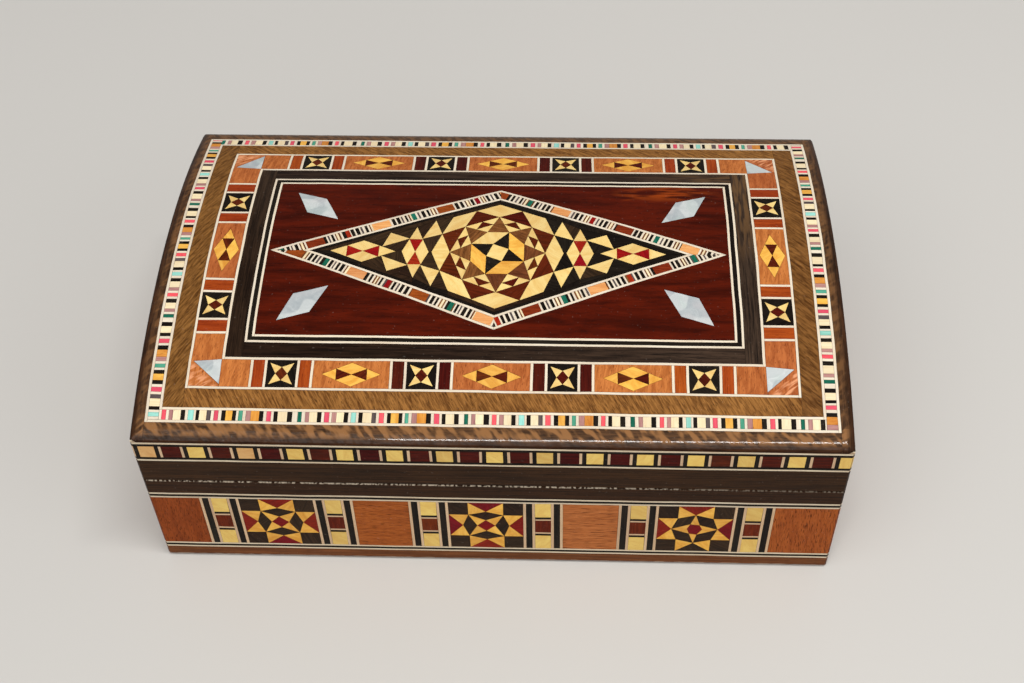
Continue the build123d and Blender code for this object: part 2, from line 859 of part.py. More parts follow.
def part_way(first, second, share):
    return first[0] + (second[0] - first[0]) * share, first[1] + (second[1] - first[1]) * share


def ground_edge(x):
    return x, drawn_ground[1] * (1 - x / drawn_ground[0])


near_touch = part_way(upright_near, upright_top, upright_touch)
far_touch = part_way(upright_far, upright_top, upright_touch)
low_touch = part_way(level_near, level_top, level_touch)
cream += four_ways([star_dip, near_touch, near_kite_tip]) + four_ways([far_touch, far_kite_tip, low_touch])

# Dark tesserae that fill the ground between the figures
for outline in (
    [star_top, ground_edge(0), ground_edge(star_shoulder[0]), star_shoulder, star_notch],
    [star_right, upright_near, near_touch, star_dip],
    [star_dip, near_kite_tip, star_shoulder],
    [near_touch, upright_top, near_kite_tip],
    [star_shoulder, near_kite_tip, upright_top, ground_edge(upright_centre), ground_edge(star_shoulder[0])],
    [upright_top, far_touch, far_kite_tip],
    [upright_top, far_kite_tip, ground_edge(far_kite_tip[0]), ground_edge(upright_centre)],
    [upright_far, level_near, low_touch, far_touch],
    [far_kite_tip, low_touch, level_top, ground_edge(level_centre), ground_edge(far_kite_tip[0])],
    [level_top, level_far, ground_end, ground_edge(level_centre)],
):
    dark += four_ways(outline)

dome_inlay(in_ground(dark), "lid_star_ground")
dome_inlay(in_ground(cream), "lid_star_cream")
dome_inlay(in_ground(gold), "lid_star_gold")
dome_inlay(in_ground(brown), "lid_star_brown")
dome_inlay(in_ground(maroon) + in_squares(spark_heart), "lid_star_maroon")
dome_inlay(in_ground(red), "lid_star_red")
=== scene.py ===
import json
import math
import random

import bmesh
import bpy
from mathutils import Matrix, Vector, noise

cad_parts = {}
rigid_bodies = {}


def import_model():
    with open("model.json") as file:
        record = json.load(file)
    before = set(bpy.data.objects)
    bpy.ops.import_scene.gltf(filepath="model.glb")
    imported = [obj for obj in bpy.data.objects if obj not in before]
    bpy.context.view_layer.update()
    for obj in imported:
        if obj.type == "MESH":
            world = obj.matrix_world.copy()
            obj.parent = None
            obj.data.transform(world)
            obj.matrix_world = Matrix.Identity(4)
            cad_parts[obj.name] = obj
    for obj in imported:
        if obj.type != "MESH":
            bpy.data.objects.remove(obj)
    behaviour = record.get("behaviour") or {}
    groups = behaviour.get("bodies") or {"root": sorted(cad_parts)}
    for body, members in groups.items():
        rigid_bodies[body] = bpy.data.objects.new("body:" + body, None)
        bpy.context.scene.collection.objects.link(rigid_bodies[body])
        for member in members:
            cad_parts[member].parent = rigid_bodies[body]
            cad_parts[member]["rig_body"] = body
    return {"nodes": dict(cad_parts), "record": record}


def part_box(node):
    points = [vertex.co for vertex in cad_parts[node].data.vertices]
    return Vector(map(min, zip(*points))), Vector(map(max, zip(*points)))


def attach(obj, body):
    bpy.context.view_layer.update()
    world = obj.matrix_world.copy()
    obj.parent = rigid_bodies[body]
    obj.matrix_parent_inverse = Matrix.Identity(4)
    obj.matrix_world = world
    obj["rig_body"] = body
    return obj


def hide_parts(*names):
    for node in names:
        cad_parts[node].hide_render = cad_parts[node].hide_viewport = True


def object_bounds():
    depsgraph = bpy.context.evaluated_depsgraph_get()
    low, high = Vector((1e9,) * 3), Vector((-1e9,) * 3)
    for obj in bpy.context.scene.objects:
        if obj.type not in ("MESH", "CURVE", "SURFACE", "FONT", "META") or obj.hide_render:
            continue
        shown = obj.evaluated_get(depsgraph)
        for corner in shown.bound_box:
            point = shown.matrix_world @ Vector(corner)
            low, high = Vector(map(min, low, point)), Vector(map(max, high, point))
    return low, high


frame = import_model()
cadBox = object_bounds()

scene = bpy.context.scene
mm = 0.001
slotOf = {part["node"]: part["material_slot"] for part in frame["record"]["subparts"]}
print("frame loaded")


# Camera and light

camera = {
    "place": (18.54 * mm, -276.23 * mm, 352.31 * mm),
    "yaw": -0.0554168,
    "pitch": 0.8680193,
    "roll": -0.0285397,
    "lens": 52.754,
    "sensor": 36,
    "clip": (0.01, 20),
}
lamps = {
    "room": {"place": (-0.35, -0.62, 1.0), "angle": 56, "strength": 1.1, "colour": (1, 0.98, 0.95)},
    "window": {"place": (0.14, -0.25, 1.0), "size": (0.66, 0.06), "strength": 5.6, "colour": (1, 0.99, 0.97)},
    "fill": {"place": (0.85, -0.6, 0.6), "size": (0.8, 0.8), "strength": 2.3, "colour": (0.97, 0.98, 1)},
}
daylight = {"colour": (0.97, 0.98, 1, 1), "strength": 0.34}


def addToScene(name, data):
    thing = bpy.data.objects.new(name, data)
    scene.collection.objects.link(thing)
    return thing


def makeCamera():
    yaw, pitch, roll = camera["yaw"], camera["pitch"], camera["roll"]
    ahead = Vector((math.sin(yaw) * math.cos(pitch), math.cos(yaw) * math.cos(pitch), -math.sin(pitch)))
    level = Vector((math.cos(yaw), -math.sin(yaw), 0))
    upright = level.cross(ahead)
    right = math.cos(roll) * level + math.sin(roll) * upright
    up = math.cos(roll) * upright - math.sin(roll) * level
    data = bpy.data.cameras.new("camera")
    data.lens, data.sensor_width = camera["lens"], camera["sensor"]
    data.clip_start, data.clip_end = camera["clip"]
    scene.camera = addToScene("camera", data)
    turn = Matrix((right, up, -ahead)).transposed()
    scene.camera.matrix_world = Matrix.Translation(camera["place"]) @ turn.to_4x4()


def makeLamps():
    for name, lamp in lamps.items():
        data = bpy.data.lights.new(name, "AREA" if "size" in lamp else "SUN")
        data.energy, data.color = lamp["strength"], lamp["colour"]
        if "size" in lamp:
            data.shape = "RECTANGLE"
            data.size, data.size_y = lamp["size"]
        else:
            data.angle = math.radians(lamp["angle"])
        place = Vector(lamp["place"])
        turn = (-place).to_track_quat("-Z", "Y").to_matrix().to_4x4()
        addToScene(name, data).matrix_world = Matrix.Translation(place) @ turn


def makeDaylight():
    scene.world = bpy.data.worlds.new("studio")
    scene.world.use_nodes = True
    background = scene.world.node_tree.nodes["Background"]
    background.inputs["Color"].default_value = daylight["colour"]
    background.inputs["Strength"].default_value = daylight["strength"]


scene.view_settings.view_transform = "Standard"
makeCamera()
makeLamps()
makeDaylight()
print("camera and lamps set")


# Node helpers: a new node goes into the tree of the sockets that feed it

def paint(red, green, blue):  # a screen colour, 0 to 255, as the linear values that shaders take
    def linear(level):
        share = level / 255
        return share / 12.92 if share <= 0.04045 else ((share + 0.055) / 1.055) ** 2.4
    return linear(red), linear(green), linear(blue), 1


def addNode(tree, kind, **settings):
    node = tree.nodes.new(kind)
    for name, value in settings.items():
        setattr(node, name, value)
    return node


def isSocket(value):
    return isinstance(value, bpy.types.NodeSocket)


def nodeAfter(values, kind, **settings):
    return addNode(next(value.id_data for value in values if isSocket(value)), kind, **settings)


def feed(node, settings):
    for label, value in settings.items():
        if isSocket(value):
            node.id_data.links.new(value, node.inputs[label])
        else:
            node.inputs[label].default_value = value


def calc(operation, first, second, clamp):
    node = nodeAfter((first, second), "ShaderNodeMath", operation=operation, use_clamp=clamp)
    feed(node, {0: first, 1: second})
    return node.outputs[0]


def plus(first, second, clamp=False):
    return calc("ADD", first, second, clamp)


def minus(first, second, clamp=False):
    return calc("SUBTRACT", first, second, clamp)


def times(first, second, clamp=False):
    return calc("MULTIPLY", first, second, clamp)


def ramp(value, low, high, start=0.0, end=1.0):
    node = nodeAfter([value], "ShaderNodeMapRange", interpolation_type="SMOOTHSTEP")
    feed(node, dict(enumerate((value, low, high, start, end))))
    return node.outputs[0]


def blend(share, first, second, mode="MIX"):
    node = nodeAfter((share, first, second), "ShaderNodeMix", data_type="RGBA", blend_type=mode)
    feed(node, {0: share, 6: first, 7: second})
    return node.outputs[2]


def cloud(vector, scale, detail=2.0, roughness=0.5, distortion=0.0):
    node = nodeAfter([vector], "ShaderNodeTexNoise")
    feed(node, {"Vector": vector, "Scale": scale, "Detail": detail, "Roughness": roughness,
                "Distortion": distortion})
    return node.outputs[0]


def stretched(vector, lengthwise, crosswise):
    size = nodeAfter([vector], "ShaderNodeCombineXYZ")
    feed(size, {0: lengthwise, 1: crosswise, 2: 1})
    node = nodeAfter([vector], "ShaderNodeVectorMath", operation="DIVIDE")
    feed(node, {0: vector, 1: size.outputs[0]})
    return node.outputs[0]


def newGroup(name, inputs, outputs):
    tree = bpy.data.node_groups.new(name, "ShaderNodeTree")
    for label, value in inputs.items():
        kind = "Float" if not isinstance(value, tuple) else "Color" if len(value) == 4 else "Vector"
        socket = tree.interface.new_socket(label, in_out="INPUT", socket_type="NodeSocket" + kind)
        socket.default_value = value
    for label in outputs:
        kind = "Color" if label == "Color" else "Float"
        tree.interface.new_socket(label, in_out="OUTPUT", socket_type="NodeSocket" + kind)
    return tree, addNode(tree, "NodeGroupInput").outputs, addNode(tree, "NodeGroupOutput")


# Wood grain, in millimetres along and across the fibres

fibreLook = {"size": (5, 0.16), "share": 0.55, "rough": 0.12, "height": 0.25}
driftLook = {"size": (22, 9), "share": 0.5}
poreLook = {"from": 0.78, "edge": 0.07, "share": 0.85, "rough": 0.25}
# glue stain at joints, and the painted shade on the moulding's nose, multiply in this colour
glueStain = (0.28, 0.18, 0.12, 1)


def makeGrainGroup():
    tree, given, result = newGroup("woodGrain", {
        "Place": (0.0, 0.0, 0.0), "Tone": 0.5,
        "Light": (0.5, 0.3, 0.15, 1.0), "Dark": (0.2, 0.1, 0.05, 1.0), "Pore Colour": (0.05, 0.03, 0.02, 1.0),
        "Streak Length": 14.0, "Streak Width": 0.7, "Streak": 0.7,
        "Pore Length": 1.2, "Pore Width": 0.12, "Pores": 0.3,
        "Spread": 0.25, "Roughness": 0.35, "Stain": 0.0,
    }, ("Color", "Roughness", "Height"))
    place = given["Place"]
    streaks = cloud(stretched(place, given["Streak Length"], given["Streak Width"]), 1, 4, 0.62, 0.5)
    fibres = cloud(stretched(place, *fibreLook["size"]), 1, 2, 0.6)
    drifts = cloud(stretched(place, *driftLook["size"]), 1, 2, 0.5, 0.4)
    poreMap = cloud(stretched(place, given["Pore Length"], given["Pore Width"]), 1, 1, 0.4)
    threshold = minus(poreLook["from"], times(given["Pores"], 0.25))
    pores = ramp(poreMap, threshold, plus(threshold, poreLook["edge"]))
    pores = times(pores, ramp(given["Pores"], 0.0, 0.1))
    share = times(ramp(streaks, 0.3, 0.7), given["Streak"])
    share = plus(share, times(minus(fibres, 0.5), fibreLook["share"]))
    share = plus(share, times(minus(drifts, 0.5), driftLook["share"]), True)
    colour = blend(share, given["Light"], given["Dark"])
    colour = blend(times(pores, poreLook["share"]), colour, given["Pore Colour"])
    offset = times(minus(given["Tone"], 0.5), given["Spread"])
    shade = addNode(tree, "ShaderNodeHueSaturation")
    feed(shade, {"Hue": plus(0.5, times(offset, 0.04)), "Value": plus(1.0, offset), "Color": colour})
    stained = blend(given["Stain"], (1, 1, 1, 1), glueStain)
    rough = plus(given["Roughness"], times(pores, poreLook["rough"]))
    feed(result, {
        "Color": blend(1, shade.outputs[0], stained, "MULTIPLY"),
        "Roughness": plus(rough, times(fibres, fibreLook["rough"])),
        "Height": minus(times(fibres, fibreLook["height"]), pores),
    })
    return tree


# Lacquer lies in low waves, with dust specks and rubbed spots; the wear input also carries painted highlights,
# the glint lines along the seam and the foot

wave = {"scale": 90, "height": 1.6}
dust = {"scale": 1500, "share": 0.05, "colour": (235, 225, 210), "height": 0.25}


def makeLacquerGroup():
    tree, given, result = newGroup("lacquer", {
        "Color": (0.5, 0.5, 0.5, 1.0), "Height": 0.0, "Wear": 0.0, "Worn Colour": (0.6, 0.45, 0.3, 1.0),
        "Patch Place": (0.0, 0.0, 0.0), "Gloss": 0.15,
    }, ("Color", "Coat", "Height"))
    where = addNode(tree, "ShaderNodeTexCoord").outputs["Object"]
    waves = cloud(where, wave["scale"], 2, 0.5)
    specks = ramp(cloud(where, dust["scale"], 1, 0.5), 0.72, 0.78)
    patches = cloud(given["Patch Place"], 1, 1, 0.4)
    rubbed = times(given["Wear"], ramp(patches, 0.4, 0.62))
    colour = blend(rubbed, given["Color"], given["Worn Colour"])
    streaky = ramp(cloud(given["Patch Place"], 2.3, 2, 0.6), 0.36, 0.62, 0.35, 1)
    share = minus(streaky, times(rubbed, 0.25))
    height = plus(times(waves, wave["height"]), times(given["Height"], 0.5))
    feed(result, {
        "Color": blend(times(specks, dust["share"]), colour, paint(*dust["colour"])),
        "Coat": times(given["Gloss"], share, True),
        "Height": plus(height, times(specks, dust["height"])),
    })
    return tree


grainGroup = makeGrainGroup()
lacquerGroup = makeLacquerGroup()


# Woods: light, dark and pore colour, streaks and pores by length, width and share, and spread of the tone

plainWood = {"rough": 0.34, "coat": 0.06, "gloss": 0.07, "specular": 0.03, "worn": (170, 130, 90),
             "patches": (2.4, 2.4), "patchTurn": 0}


def timber(light, dark, pore, streak, pores=(1.2, 0.12, 0.25), spread=0.25, **more):
    return {**plainWood, "light": light, "dark": dark, "pore": pore, "streak": streak, "pores": pores,
            "spread": spread, **more}


woods = {
    "edgeWalnut": timber((96, 64, 38), (44, 28, 16), (24, 16, 10), (6, 0.7, 0.9), (1.8, 0.13, 0.5), rough=0.32,
        coat=0.05, gloss=0.42, specular=0.04, worn=(140, 97, 58), patches=(3.4, 1.3), patchTurn=48),
    # the rim's worn colour is a painted highlight, the dotted glint along the seam arris
    "rimWalnut": timber((64, 40, 21), (31, 18, 9), (22, 15, 10), (26, 0.5, 0.85), (2.6, 0.11, 0.6), gloss=0.1,
        worn=(204, 188, 166), patches=(0.7, 0.6)),
    # the plinth's worn colour is the painted highlight along the foot arris
    "plinthWalnut": timber((128, 78, 42), (80, 44, 22), (45, 26, 16), (18, 0.6, 0.8), (2.0, 0.12, 0.5),
        worn=(196, 172, 146), patches=(2.5, 0.8)),
    "borderWalnut": timber((162, 112, 56), (88, 52, 20), (50, 31, 15), (4, 0.5, 0.95), (1.8, 0.15, 0.6), 0.15),
    "sideWalnut": timber((140, 95, 48), (74, 43, 16), (44, 27, 13), (4, 0.5, 0.95), (1.8, 0.15, 0.6), 0.15),
    "holly": timber((230, 218, 197), (204, 180, 149), (150, 112, 78), (9, 0.35, 0.5), (0.5, 0.12, 0.2), 0.12),
    "sideHolly": timber((222, 208, 183), (188, 162, 130), (130, 92, 62), (9, 0.35, 0.6), (0.5, 0.12, 0.3), 0.14),
    "agedHolly": timber((214, 184, 150), (184, 146, 110), (120, 78, 50), (8, 0.3, 0.6), (0.5, 0.1, 0.3), 0.14),
    "ebony": timber((34, 27, 21), (12, 9, 7), (8, 6, 5), (12, 0.5, 0.8), (1.5, 0.1, 0.3), 0.5),
    "brownEbony": timber((58, 40, 26), (24, 16, 10), (16, 12, 9), (10, 0.5, 0.8), (1.6, 0.1, 0.5), 0.45),
    "creamWood": timber((240, 222, 184), (222, 196, 150), (160, 118, 74), (5, 0.5, 0.6), (0.5, 0.12, 0.2), 0.14),
    "greyEbony": timber((70, 54, 42), (26, 19, 15), (14, 11, 9), (12, 0.5, 0.95), (2.0, 0.12, 0.5),
        worn=(104, 76, 48), patches=(6, 0.8)),
    "pear": timber((190, 111, 59), (148, 75, 35), (100, 44, 20), (5, 1.0, 0.85), (1.3, 0.15, 0.6), 0.3,
        worn=(222, 152, 108), patches=(3, 0.7), patchTurn=52),
    "frontPear": timber((172, 92, 38), (138, 66, 24), (72, 30, 10), (9, 0.9, 0.7), (2.4, 0.16, 0.8), 0.16),
    "boxwood": timber((233, 204, 134), (214, 166, 86), (150, 105, 55), (5, 1.7, 0.6), (0.5, 0.14, 0.2), 0.16),
    "goldWood": timber((238, 184, 86), (210, 140, 50), (150, 86, 30), (5, 1.6, 0.75), (0.6, 0.14, 0.25), 0.18),
    "yellowCell": timber((230, 197, 112), (212, 164, 84), (150, 100, 40), (5, 1.6, 0.6), (0.6, 0.14, 0.2), 0.22),
    "endPear": timber((152, 74, 26), (118, 52, 14), (66, 28, 10), (9, 0.9, 0.7), (1.5, 0.13, 0.75), 0.16),
    "palePear": timber((190, 114, 62), (156, 84, 40), (76, 34, 14), (9, 0.9, 0.7), (3.4, 0.17, 0.78), 0.1),
    "tanCell": timber((230, 186, 122), (208, 152, 88), (150, 100, 50), (5, 1.4, 0.6), spread=0.2),
    "maroon": timber((98, 35, 13), (55, 16, 5), (32, 8, 4), (7, 0.6, 0.8), (1.0, 0.12, 0.4), 0.5),
    "frontRust": timber((114, 42, 12), (74, 22, 5), (44, 12, 4), (7, 0.6, 0.8), (1.0, 0.12, 0.4), 0.3),
    "frontMaroon": timber((86, 24, 9), (46, 9, 4), (28, 7, 4), (7, 0.6, 0.8), (1.0, 0.12, 0.4), 0.5),
    "brownWood": timber((130, 78, 42), (80, 43, 20), (50, 26, 14), (5, 0.7, 0.9), (1.0, 0.14, 0.5), 0.45),
    "redWood": timber((160, 30, 20), (112, 14, 10), (70, 10, 8), (6, 0.5, 0.7), (0.9, 0.12, 0.4), 0.35),
    "frontRed": timber((132, 20, 18), (92, 10, 10), (52, 6, 8), (6, 0.5, 0.7), (0.9, 0.12, 0.4), 0.35),
    "padauk": timber((168, 74, 26), (124, 44, 12), (88, 26, 10), (8, 0.5, 0.8), (1.4, 0.12, 0.5), 0.35),
    "darkBar": timber((82, 24, 12), (48, 11, 6), (30, 8, 5), (8, 0.5, 0.8), (1.4, 0.12, 0.4), 0.3),
    "redBrown": timber((150, 66, 26), (104, 38, 12), (64, 22, 8), (5, 0.5, 0.8), (1.2, 0.12, 0.5), 0.5),
    "mahogany": timber((86, 21, 6), (44, 8, 3), (30, 8, 5), (20, 2.8, 0.85), (1.8, 0.14, 0.5), 0.1, rough=0.3,
        worn=(150, 62, 16), patches=(7, 1.1)),
    "pinkDyed": timber((232, 92, 106), (206, 62, 80), (150, 50, 60), (5, 0.4, 0.6)),
    "mauveDyed": timber((184, 136, 128), (150, 104, 100), (100, 66, 62), (5, 0.4, 0.7)),
    "aquaDyed": timber((156, 214, 200), (120, 188, 172), (80, 130, 115), (5, 0.4, 0.6)),
    "greenDyed": timber((88, 164, 136), (56, 124, 100), (36, 84, 66), (5, 0.4, 0.7)),
    "tealDyed": timber((34, 112, 90), (16, 78, 62), (10, 46, 36), (5, 0.4, 0.7)),
    "slateDyed": timber((96, 84, 82), (62, 52, 52), (36, 30, 30), (5, 0.4, 0.7)),
    "orangeWood": timber((216, 148, 68), (188, 112, 42), (120, 66, 24), (5, 0.7, 0.8)),
    "apricotWood": timber((228, 164, 104), (202, 126, 68), (140, 80, 40), (7, 0.6, 0.8)),
}
bareBoard = timber((206, 164, 112), (168, 122, 74), (110, 72, 40), (18, 1.1, 0.7), (1.2, 0.12, 0.3),
                   rough=0.55)


def startMaterial(name):
    material = bpy.data.materials.new(name)
    material.use_nodes = True
    return material, material.node_tree, material.node_tree.nodes["Principled BSDF"]


def objectPlace(tree):
    return addNode(tree, "ShaderNodeTexCoord").outputs["Object"]


def attribute(tree, name):
    return addNode(tree, "ShaderNodeAttribute", attribute_name=name).outputs


def addGrain(tree, place, wood, **more):
    grain = addNode(tree, "ShaderNodeGroup", node_tree=grainGroup)
    feed(grain, {
        "Place": place, "Spread": wood["spread"], "Roughness": wood["rough"],
        "Light": paint(*wood["light"]), "Dark": paint(*wood["dark"]), "Pore Colour": paint(*wood["pore"]),
        **dict(zip(("Streak Length", "Streak Width", "Streak"), wood["streak"])),
        **dict(zip(("Pore Length", "Pore Width", "Pores"), wood["pores"])), **more,
    })
    return grain.outputs


def finishBump(shader, height, strength, distance):
    bump = nodeAfter([height], "ShaderNodeBump")
    feed(bump, {"Strength": strength, "Distance": distance, "Height": height})
    feed(shader, {"Normal": bump.outputs["Normal"]})


def makeWood(name, wood):
    material, tree, shader = startMaterial(name)
    place = attribute(tree, "grain")["Vector"]
    tone, stain, wear = (attribute(tree, label)["Fac"] for label in ("tone", "stain", "wear"))
    grain = addGrain(tree, place, wood, Tone=tone, Stain=stain)
    turned = addNode(tree, "ShaderNodeVectorRotate", rotation_type="Z_AXIS")
    feed(turned, {"Vector": place, "Angle": math.radians(wood["patchTurn"])})
    coat = addNode(tree, "ShaderNodeGroup", node_tree=lacquerGroup)
    feed(coat, {
        "Color": grain["Color"], "Height": grain["Height"], "Wear": wear,
        "Worn Colour": paint(*wood["worn"]), "Patch Place": stretched(turned.outputs[0], *wood["patches"]),
        "Gloss": wood["gloss"],
    })
    feed(shader, {
        "Base Color": coat.outputs["Color"], "Roughness": grain["Roughness"],
        "Coat Weight": coat.outputs["Coat"], "Coat Roughness": wood["coat"],
        "Specular IOR Level": wood["specular"],
    })
    finishBump(shader, coat.outputs["Height"], 0.35, 0.05 * mm)
    return material


def makeBareWood():
    material, tree, shader = startMaterial("bareWood")
    place = addNode(tree, "ShaderNodeVectorMath", operation="SCALE")
    feed(place, {0: objectPlace(tree), "Scale": 1 / mm})
    grain = addGrain(tree, place.outputs[0], bareBoard)
    feed(shader, {"Base Color": grain["Color"], "Roughness": grain["Roughness"]})
    finishBump(shader, grain["Height"], 0.4, 0.06 * mm)
    return material


pearl = {"grey": (164, 171, 174), "white": (206, 210, 208), "pink": (212, 202, 200), "green": (180, 200, 190),
         "glue": (62, 48, 38), "layers": 260, "sheen": 120, "facets": 150, "rough": (0.16, 0.32),
         "coat": 0.4, "coatRough": 0.05}


def makePearl():
    material, tree, shader = startMaterial("motherOfPearl")
    where = objectPlace(tree)
    layers = cloud(where, pearl["layers"], 4, 0.6, 1.2)
    sheen = cloud(where, pearl["sheen"], 2, 0.5, 0.6)
    facets = ramp(cloud(where, pearl["facets"], 0), 0.47, 0.53)
    share = plus(times(facets, 0.6), ramp(layers, 0.35, 0.75, 0, 0.4))
    colour = blend(share, paint(*pearl["grey"]), paint(*pearl["white"]))
    colour = blend(ramp(sheen, 0.52, 0.7, 0.0, 0.3), colour, paint(*pearl["pink"]))
    colour = blend(ramp(sheen, 0.48, 0.32, 0.0, 0.3), colour, paint(*pearl["green"]))
    feed(shader, {
        "Base Color": blend(attribute(tree, "stain")["Fac"], colour, paint(*pearl["glue"])),
        "Roughness": ramp(layers, 0.3, 0.7, *pearl["rough"]),
        "Coat Weight": pearl["coat"], "Coat Roughness": pearl["coatRough"],
    })
    finishBump(shader, layers, 0.2, 0.05 * mm)
    return material


brass = {"bright": (214, 178, 96), "tarnished": (140, 104, 50), "scratch": (6.0, 0.4), "rough": (0.2, 0.5)}


def makeBrass():
    material, tree, shader = startMaterial("brass")
    where = objectPlace(tree)
    scratches = cloud(stretched(where, *brass["scratch"]), 900, 3, 0.6)
    tarnish = cloud(where, 240, 3, 0.6)
    feed(shader, {
        "Base Color": blend(ramp(tarnish, 0.42, 0.7), paint(*brass["bright"]), paint(*brass["tarnished"])),
        "Roughness": ramp(tarnish, 0.3, 0.75, *brass["rough"]), "Metallic": 1,
    })
    finishBump(shader, scratches, 0.2, 0.03 * mm)
    return material


piles = {
    "velvet": {"dark": (70, 6, 14), "light": (122, 16, 28), "scale": 2600, "depth": 0.12 * mm,
               "sheen": 0.45, "tint": (226, 96, 108)},
    "felt": {"dark": (14, 14, 14), "light": (38, 37, 36), "scale": 1800, "depth": 0.15 * mm,
             "sheen": 0.25, "tint": (150, 150, 150)},
}


def makePile(name, pile):
    material, tree, shader = startMaterial(name)
    where = objectPlace(tree)
    nap = cloud(where, pile["scale"], 3, 0.6)
    brushed = cloud(where, 60, 3, 0.6, 0.8)
    share = ramp(plus(times(nap, 0.5), times(brushed, 0.6)), 0.35, 0.75)
    feed(shader, {
        "Base Color": blend(share, paint(*pile["dark"]), paint(*pile["light"])),
        "Roughness": ramp(nap, 0.2, 0.8, 0.75, 0.95),
        "Sheen Weight": pile["sheen"], "Sheen Tint": paint(*pile["tint"]), "Sheen Roughness": 0.35,
    })
    finishBump(shader, nap, 0.5, pile["depth"])
    return material


materials = {name: makeWood(name, wood) for name, wood in woods.items()}
materials.update({name: makePile(name, pile) for name, pile in piles.items()})
materials.update({"pearl": makePearl(), "bareWood": makeBareWood(), "brass": makeBrass()})
print("materials made")


# Shape of the box: a sheet of veneer on each side, and one over the curved lid

veneer = {"thickness": 0.8 * mm, "arris": 0.65 * mm, "seamArris": 0.3 * mm, "footArris": 0.4 * mm,
          "flush": 0.01 * mm, "slack": 0.12 * mm, "upper": 0.7 * mm}
hand = {"wander": 0.13 * mm, "scale": 95, "tremble": 0.05 * mm, "finer": 3.1, "still": 4 * mm, "turn": 4,
        "seed": 7}
noise.seed_set(hand["seed"])
glue = {"width": 0.1 * mm, "lines": 0.17 * mm, "depth": 0.025 * mm, "stain": 1}
lidCurve = {"rise": 9.5 * mm, "step": 4 * mm, "lengthStep": 3 * mm}

halfLength, halfWidth = cadBox[1][0], cadBox[1][1]
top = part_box("lid_panel")[1].z + veneer["thickness"]
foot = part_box("box_plinth_band")[0].z
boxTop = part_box("box_rim_band")[1].z
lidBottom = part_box("lid_rim_band")[0].z
radius = (halfWidth ** 2 + lidCurve["rise"] ** 2) / (2 * lidCurve["rise"])
centreHeight = top - radius
halfArc = radius * math.asin(halfWidth / radius)
edgeHeight = top - lidCurve["rise"]
innerHalf = halfWidth - veneer["thickness"]  # the side sheets end behind those of front and back

sides = {
    "front": {"along": Vector((1, 0, 0)), "out": Vector((0, -1, 0)), "reach": halfWidth, "half": halfLength},
    "back": {"along": Vector((-1, 0, 0)), "out": Vector((0, 1, 0)), "reach": halfWidth, "half": halfLength},
    "left": {"along": Vector((0, -1, 0)), "out": Vector((-1, 0, 0)), "reach": halfLength, "half": innerHalf},
    "right": {"along": Vector((0, 1, 0)), "out": Vector((1, 0, 0)), "reach": halfLength, "half": innerHalf},
    "top": {"half": halfLength},
}


def clamped(value):
    return min(max(value, 0), 1)


def corners(points):
    return [Vector(choose(point[axis] for point in points) for axis in range(3)) for choose in (min, max)]


def toSheet(side, point):  # along the sheet, up or across it, and out of it
    if side == "top":
        rise = point.z - centreHeight
        return Vector((point.x, radius * math.atan2(point.y, rise), math.hypot(point.y, rise) - radius))
    form = sides[side]
    return Vector((point.dot(form["along"]), point.z, point.dot(form["out"]) - form["reach"]))


def fromSheet(side, place):
    if side == "top":
        reach, lean = radius + place.z, place.y / radius
        return Vector((place.x, reach * math.sin(lean), centreHeight + reach * math.cos(lean)))
    form = sides[side]
    return form["along"] * place.x + Vector((0, 0, place.y)) + form["out"] * (place.z + form["reach"])


def sheetNormal(side, place):
    if side == "top":
        return Vector((0, math.sin(place.y / radius), math.cos(place.y / radius)))
    return sides[side]["out"]


def wandered(side, place):  # hand-cut lines wander a little, and neighbours wander together
    stillLines = (-halfArc, halfArc) if side == "top" else (foot, boxTop, lidBottom, edgeHeight)
    toEnd = sides[side]["half"] - abs(place.x)
    toLine = min(abs(place.y - line) for line in stillLines)
    share = clamped(min(toEnd, toLine) / hand["still"])
    seed = Vector((place.x, place.y, 0.1 * list(sides).index(side))) * hand["scale"]
    wander = noise.noise_vector(seed) * hand["wander"]
    push = (wander + noise.noise_vector(seed * hand["finer"]) * hand["tremble"]) * share
    return Vector((place.x + push.x, place.y + push.y, place.z))


def drop(distance, arris):  # how far a rounded arris falls at this distance from its edge
    short = arris - max(distance, 0)
    return 0 if short <= 0 else arris - math.sqrt(arris ** 2 - short ** 2)


def arrises(side):
    if side == "top":
        return []
    lines = [(1, foot, 1, veneer["footArris"])]
    if side in ("front", "back"):
        lines = [(0, way * halfLength, -way, veneer["arris"]) for way in (-1, 1)] + lines
    if side != "back":
        lines += [(1, boxTop, -1, veneer["seamArris"]), (1, lidBottom, 1, veneer["seamArris"])]
    return lines


arrisShares = (0.1, 0.3, 0.6, 1, 1.5)


def steps(low, high, step):
    return [index * step for index in range(math.ceil(low / step), math.floor(high / step) + 1)]


def cutPlaces(side, low, high, more):
    places = list(more) + [(0, place) for place in steps(low.x, high.x, lidCurve["lengthStep"])]
    if side == "top":
        places += [(1, place) for place in steps(low.y, high.y, lidCurve["step"])]
    for axis, edge, way, arris in arrises(side):
        if edge == lidBottom and low.y < lidBottom - mm or edge == boxTop and high.y > boxTop + mm:
            continue
        places += [(axis, edge + way * share * arris) for share in arrisShares]
    return [(axis, place) for axis, place in places if low[axis] < place < high[axis]]


def cutSheet(sheet, side, more):
    low, high = corners([vert.co for vert in sheet.verts])
    for axis, place in cutPlaces(side, low, high, more):
        across = Vector((axis == 0, axis == 1, 0))
        everything = sheet.verts[:] + sheet.edges[:] + sheet.faces[:]
        bmesh.ops.bisect_plane(sheet, geom=everything, dist=1e-7, plane_co=across * place, plane_no=across)


# Tesserae: from a CAD node, or from outlines drawn here

merging = {"distance": 0.002 * mm, "angle": 0.8}


def sideOf(points):
    def misfit(side):
        heights = [toSheet(side, point).z for point in points]
        return abs(max(heights)) + abs(max(heights) - min(heights) - veneer["thickness"])
    return min((side for side in sides if side != "top"), key=misfit)


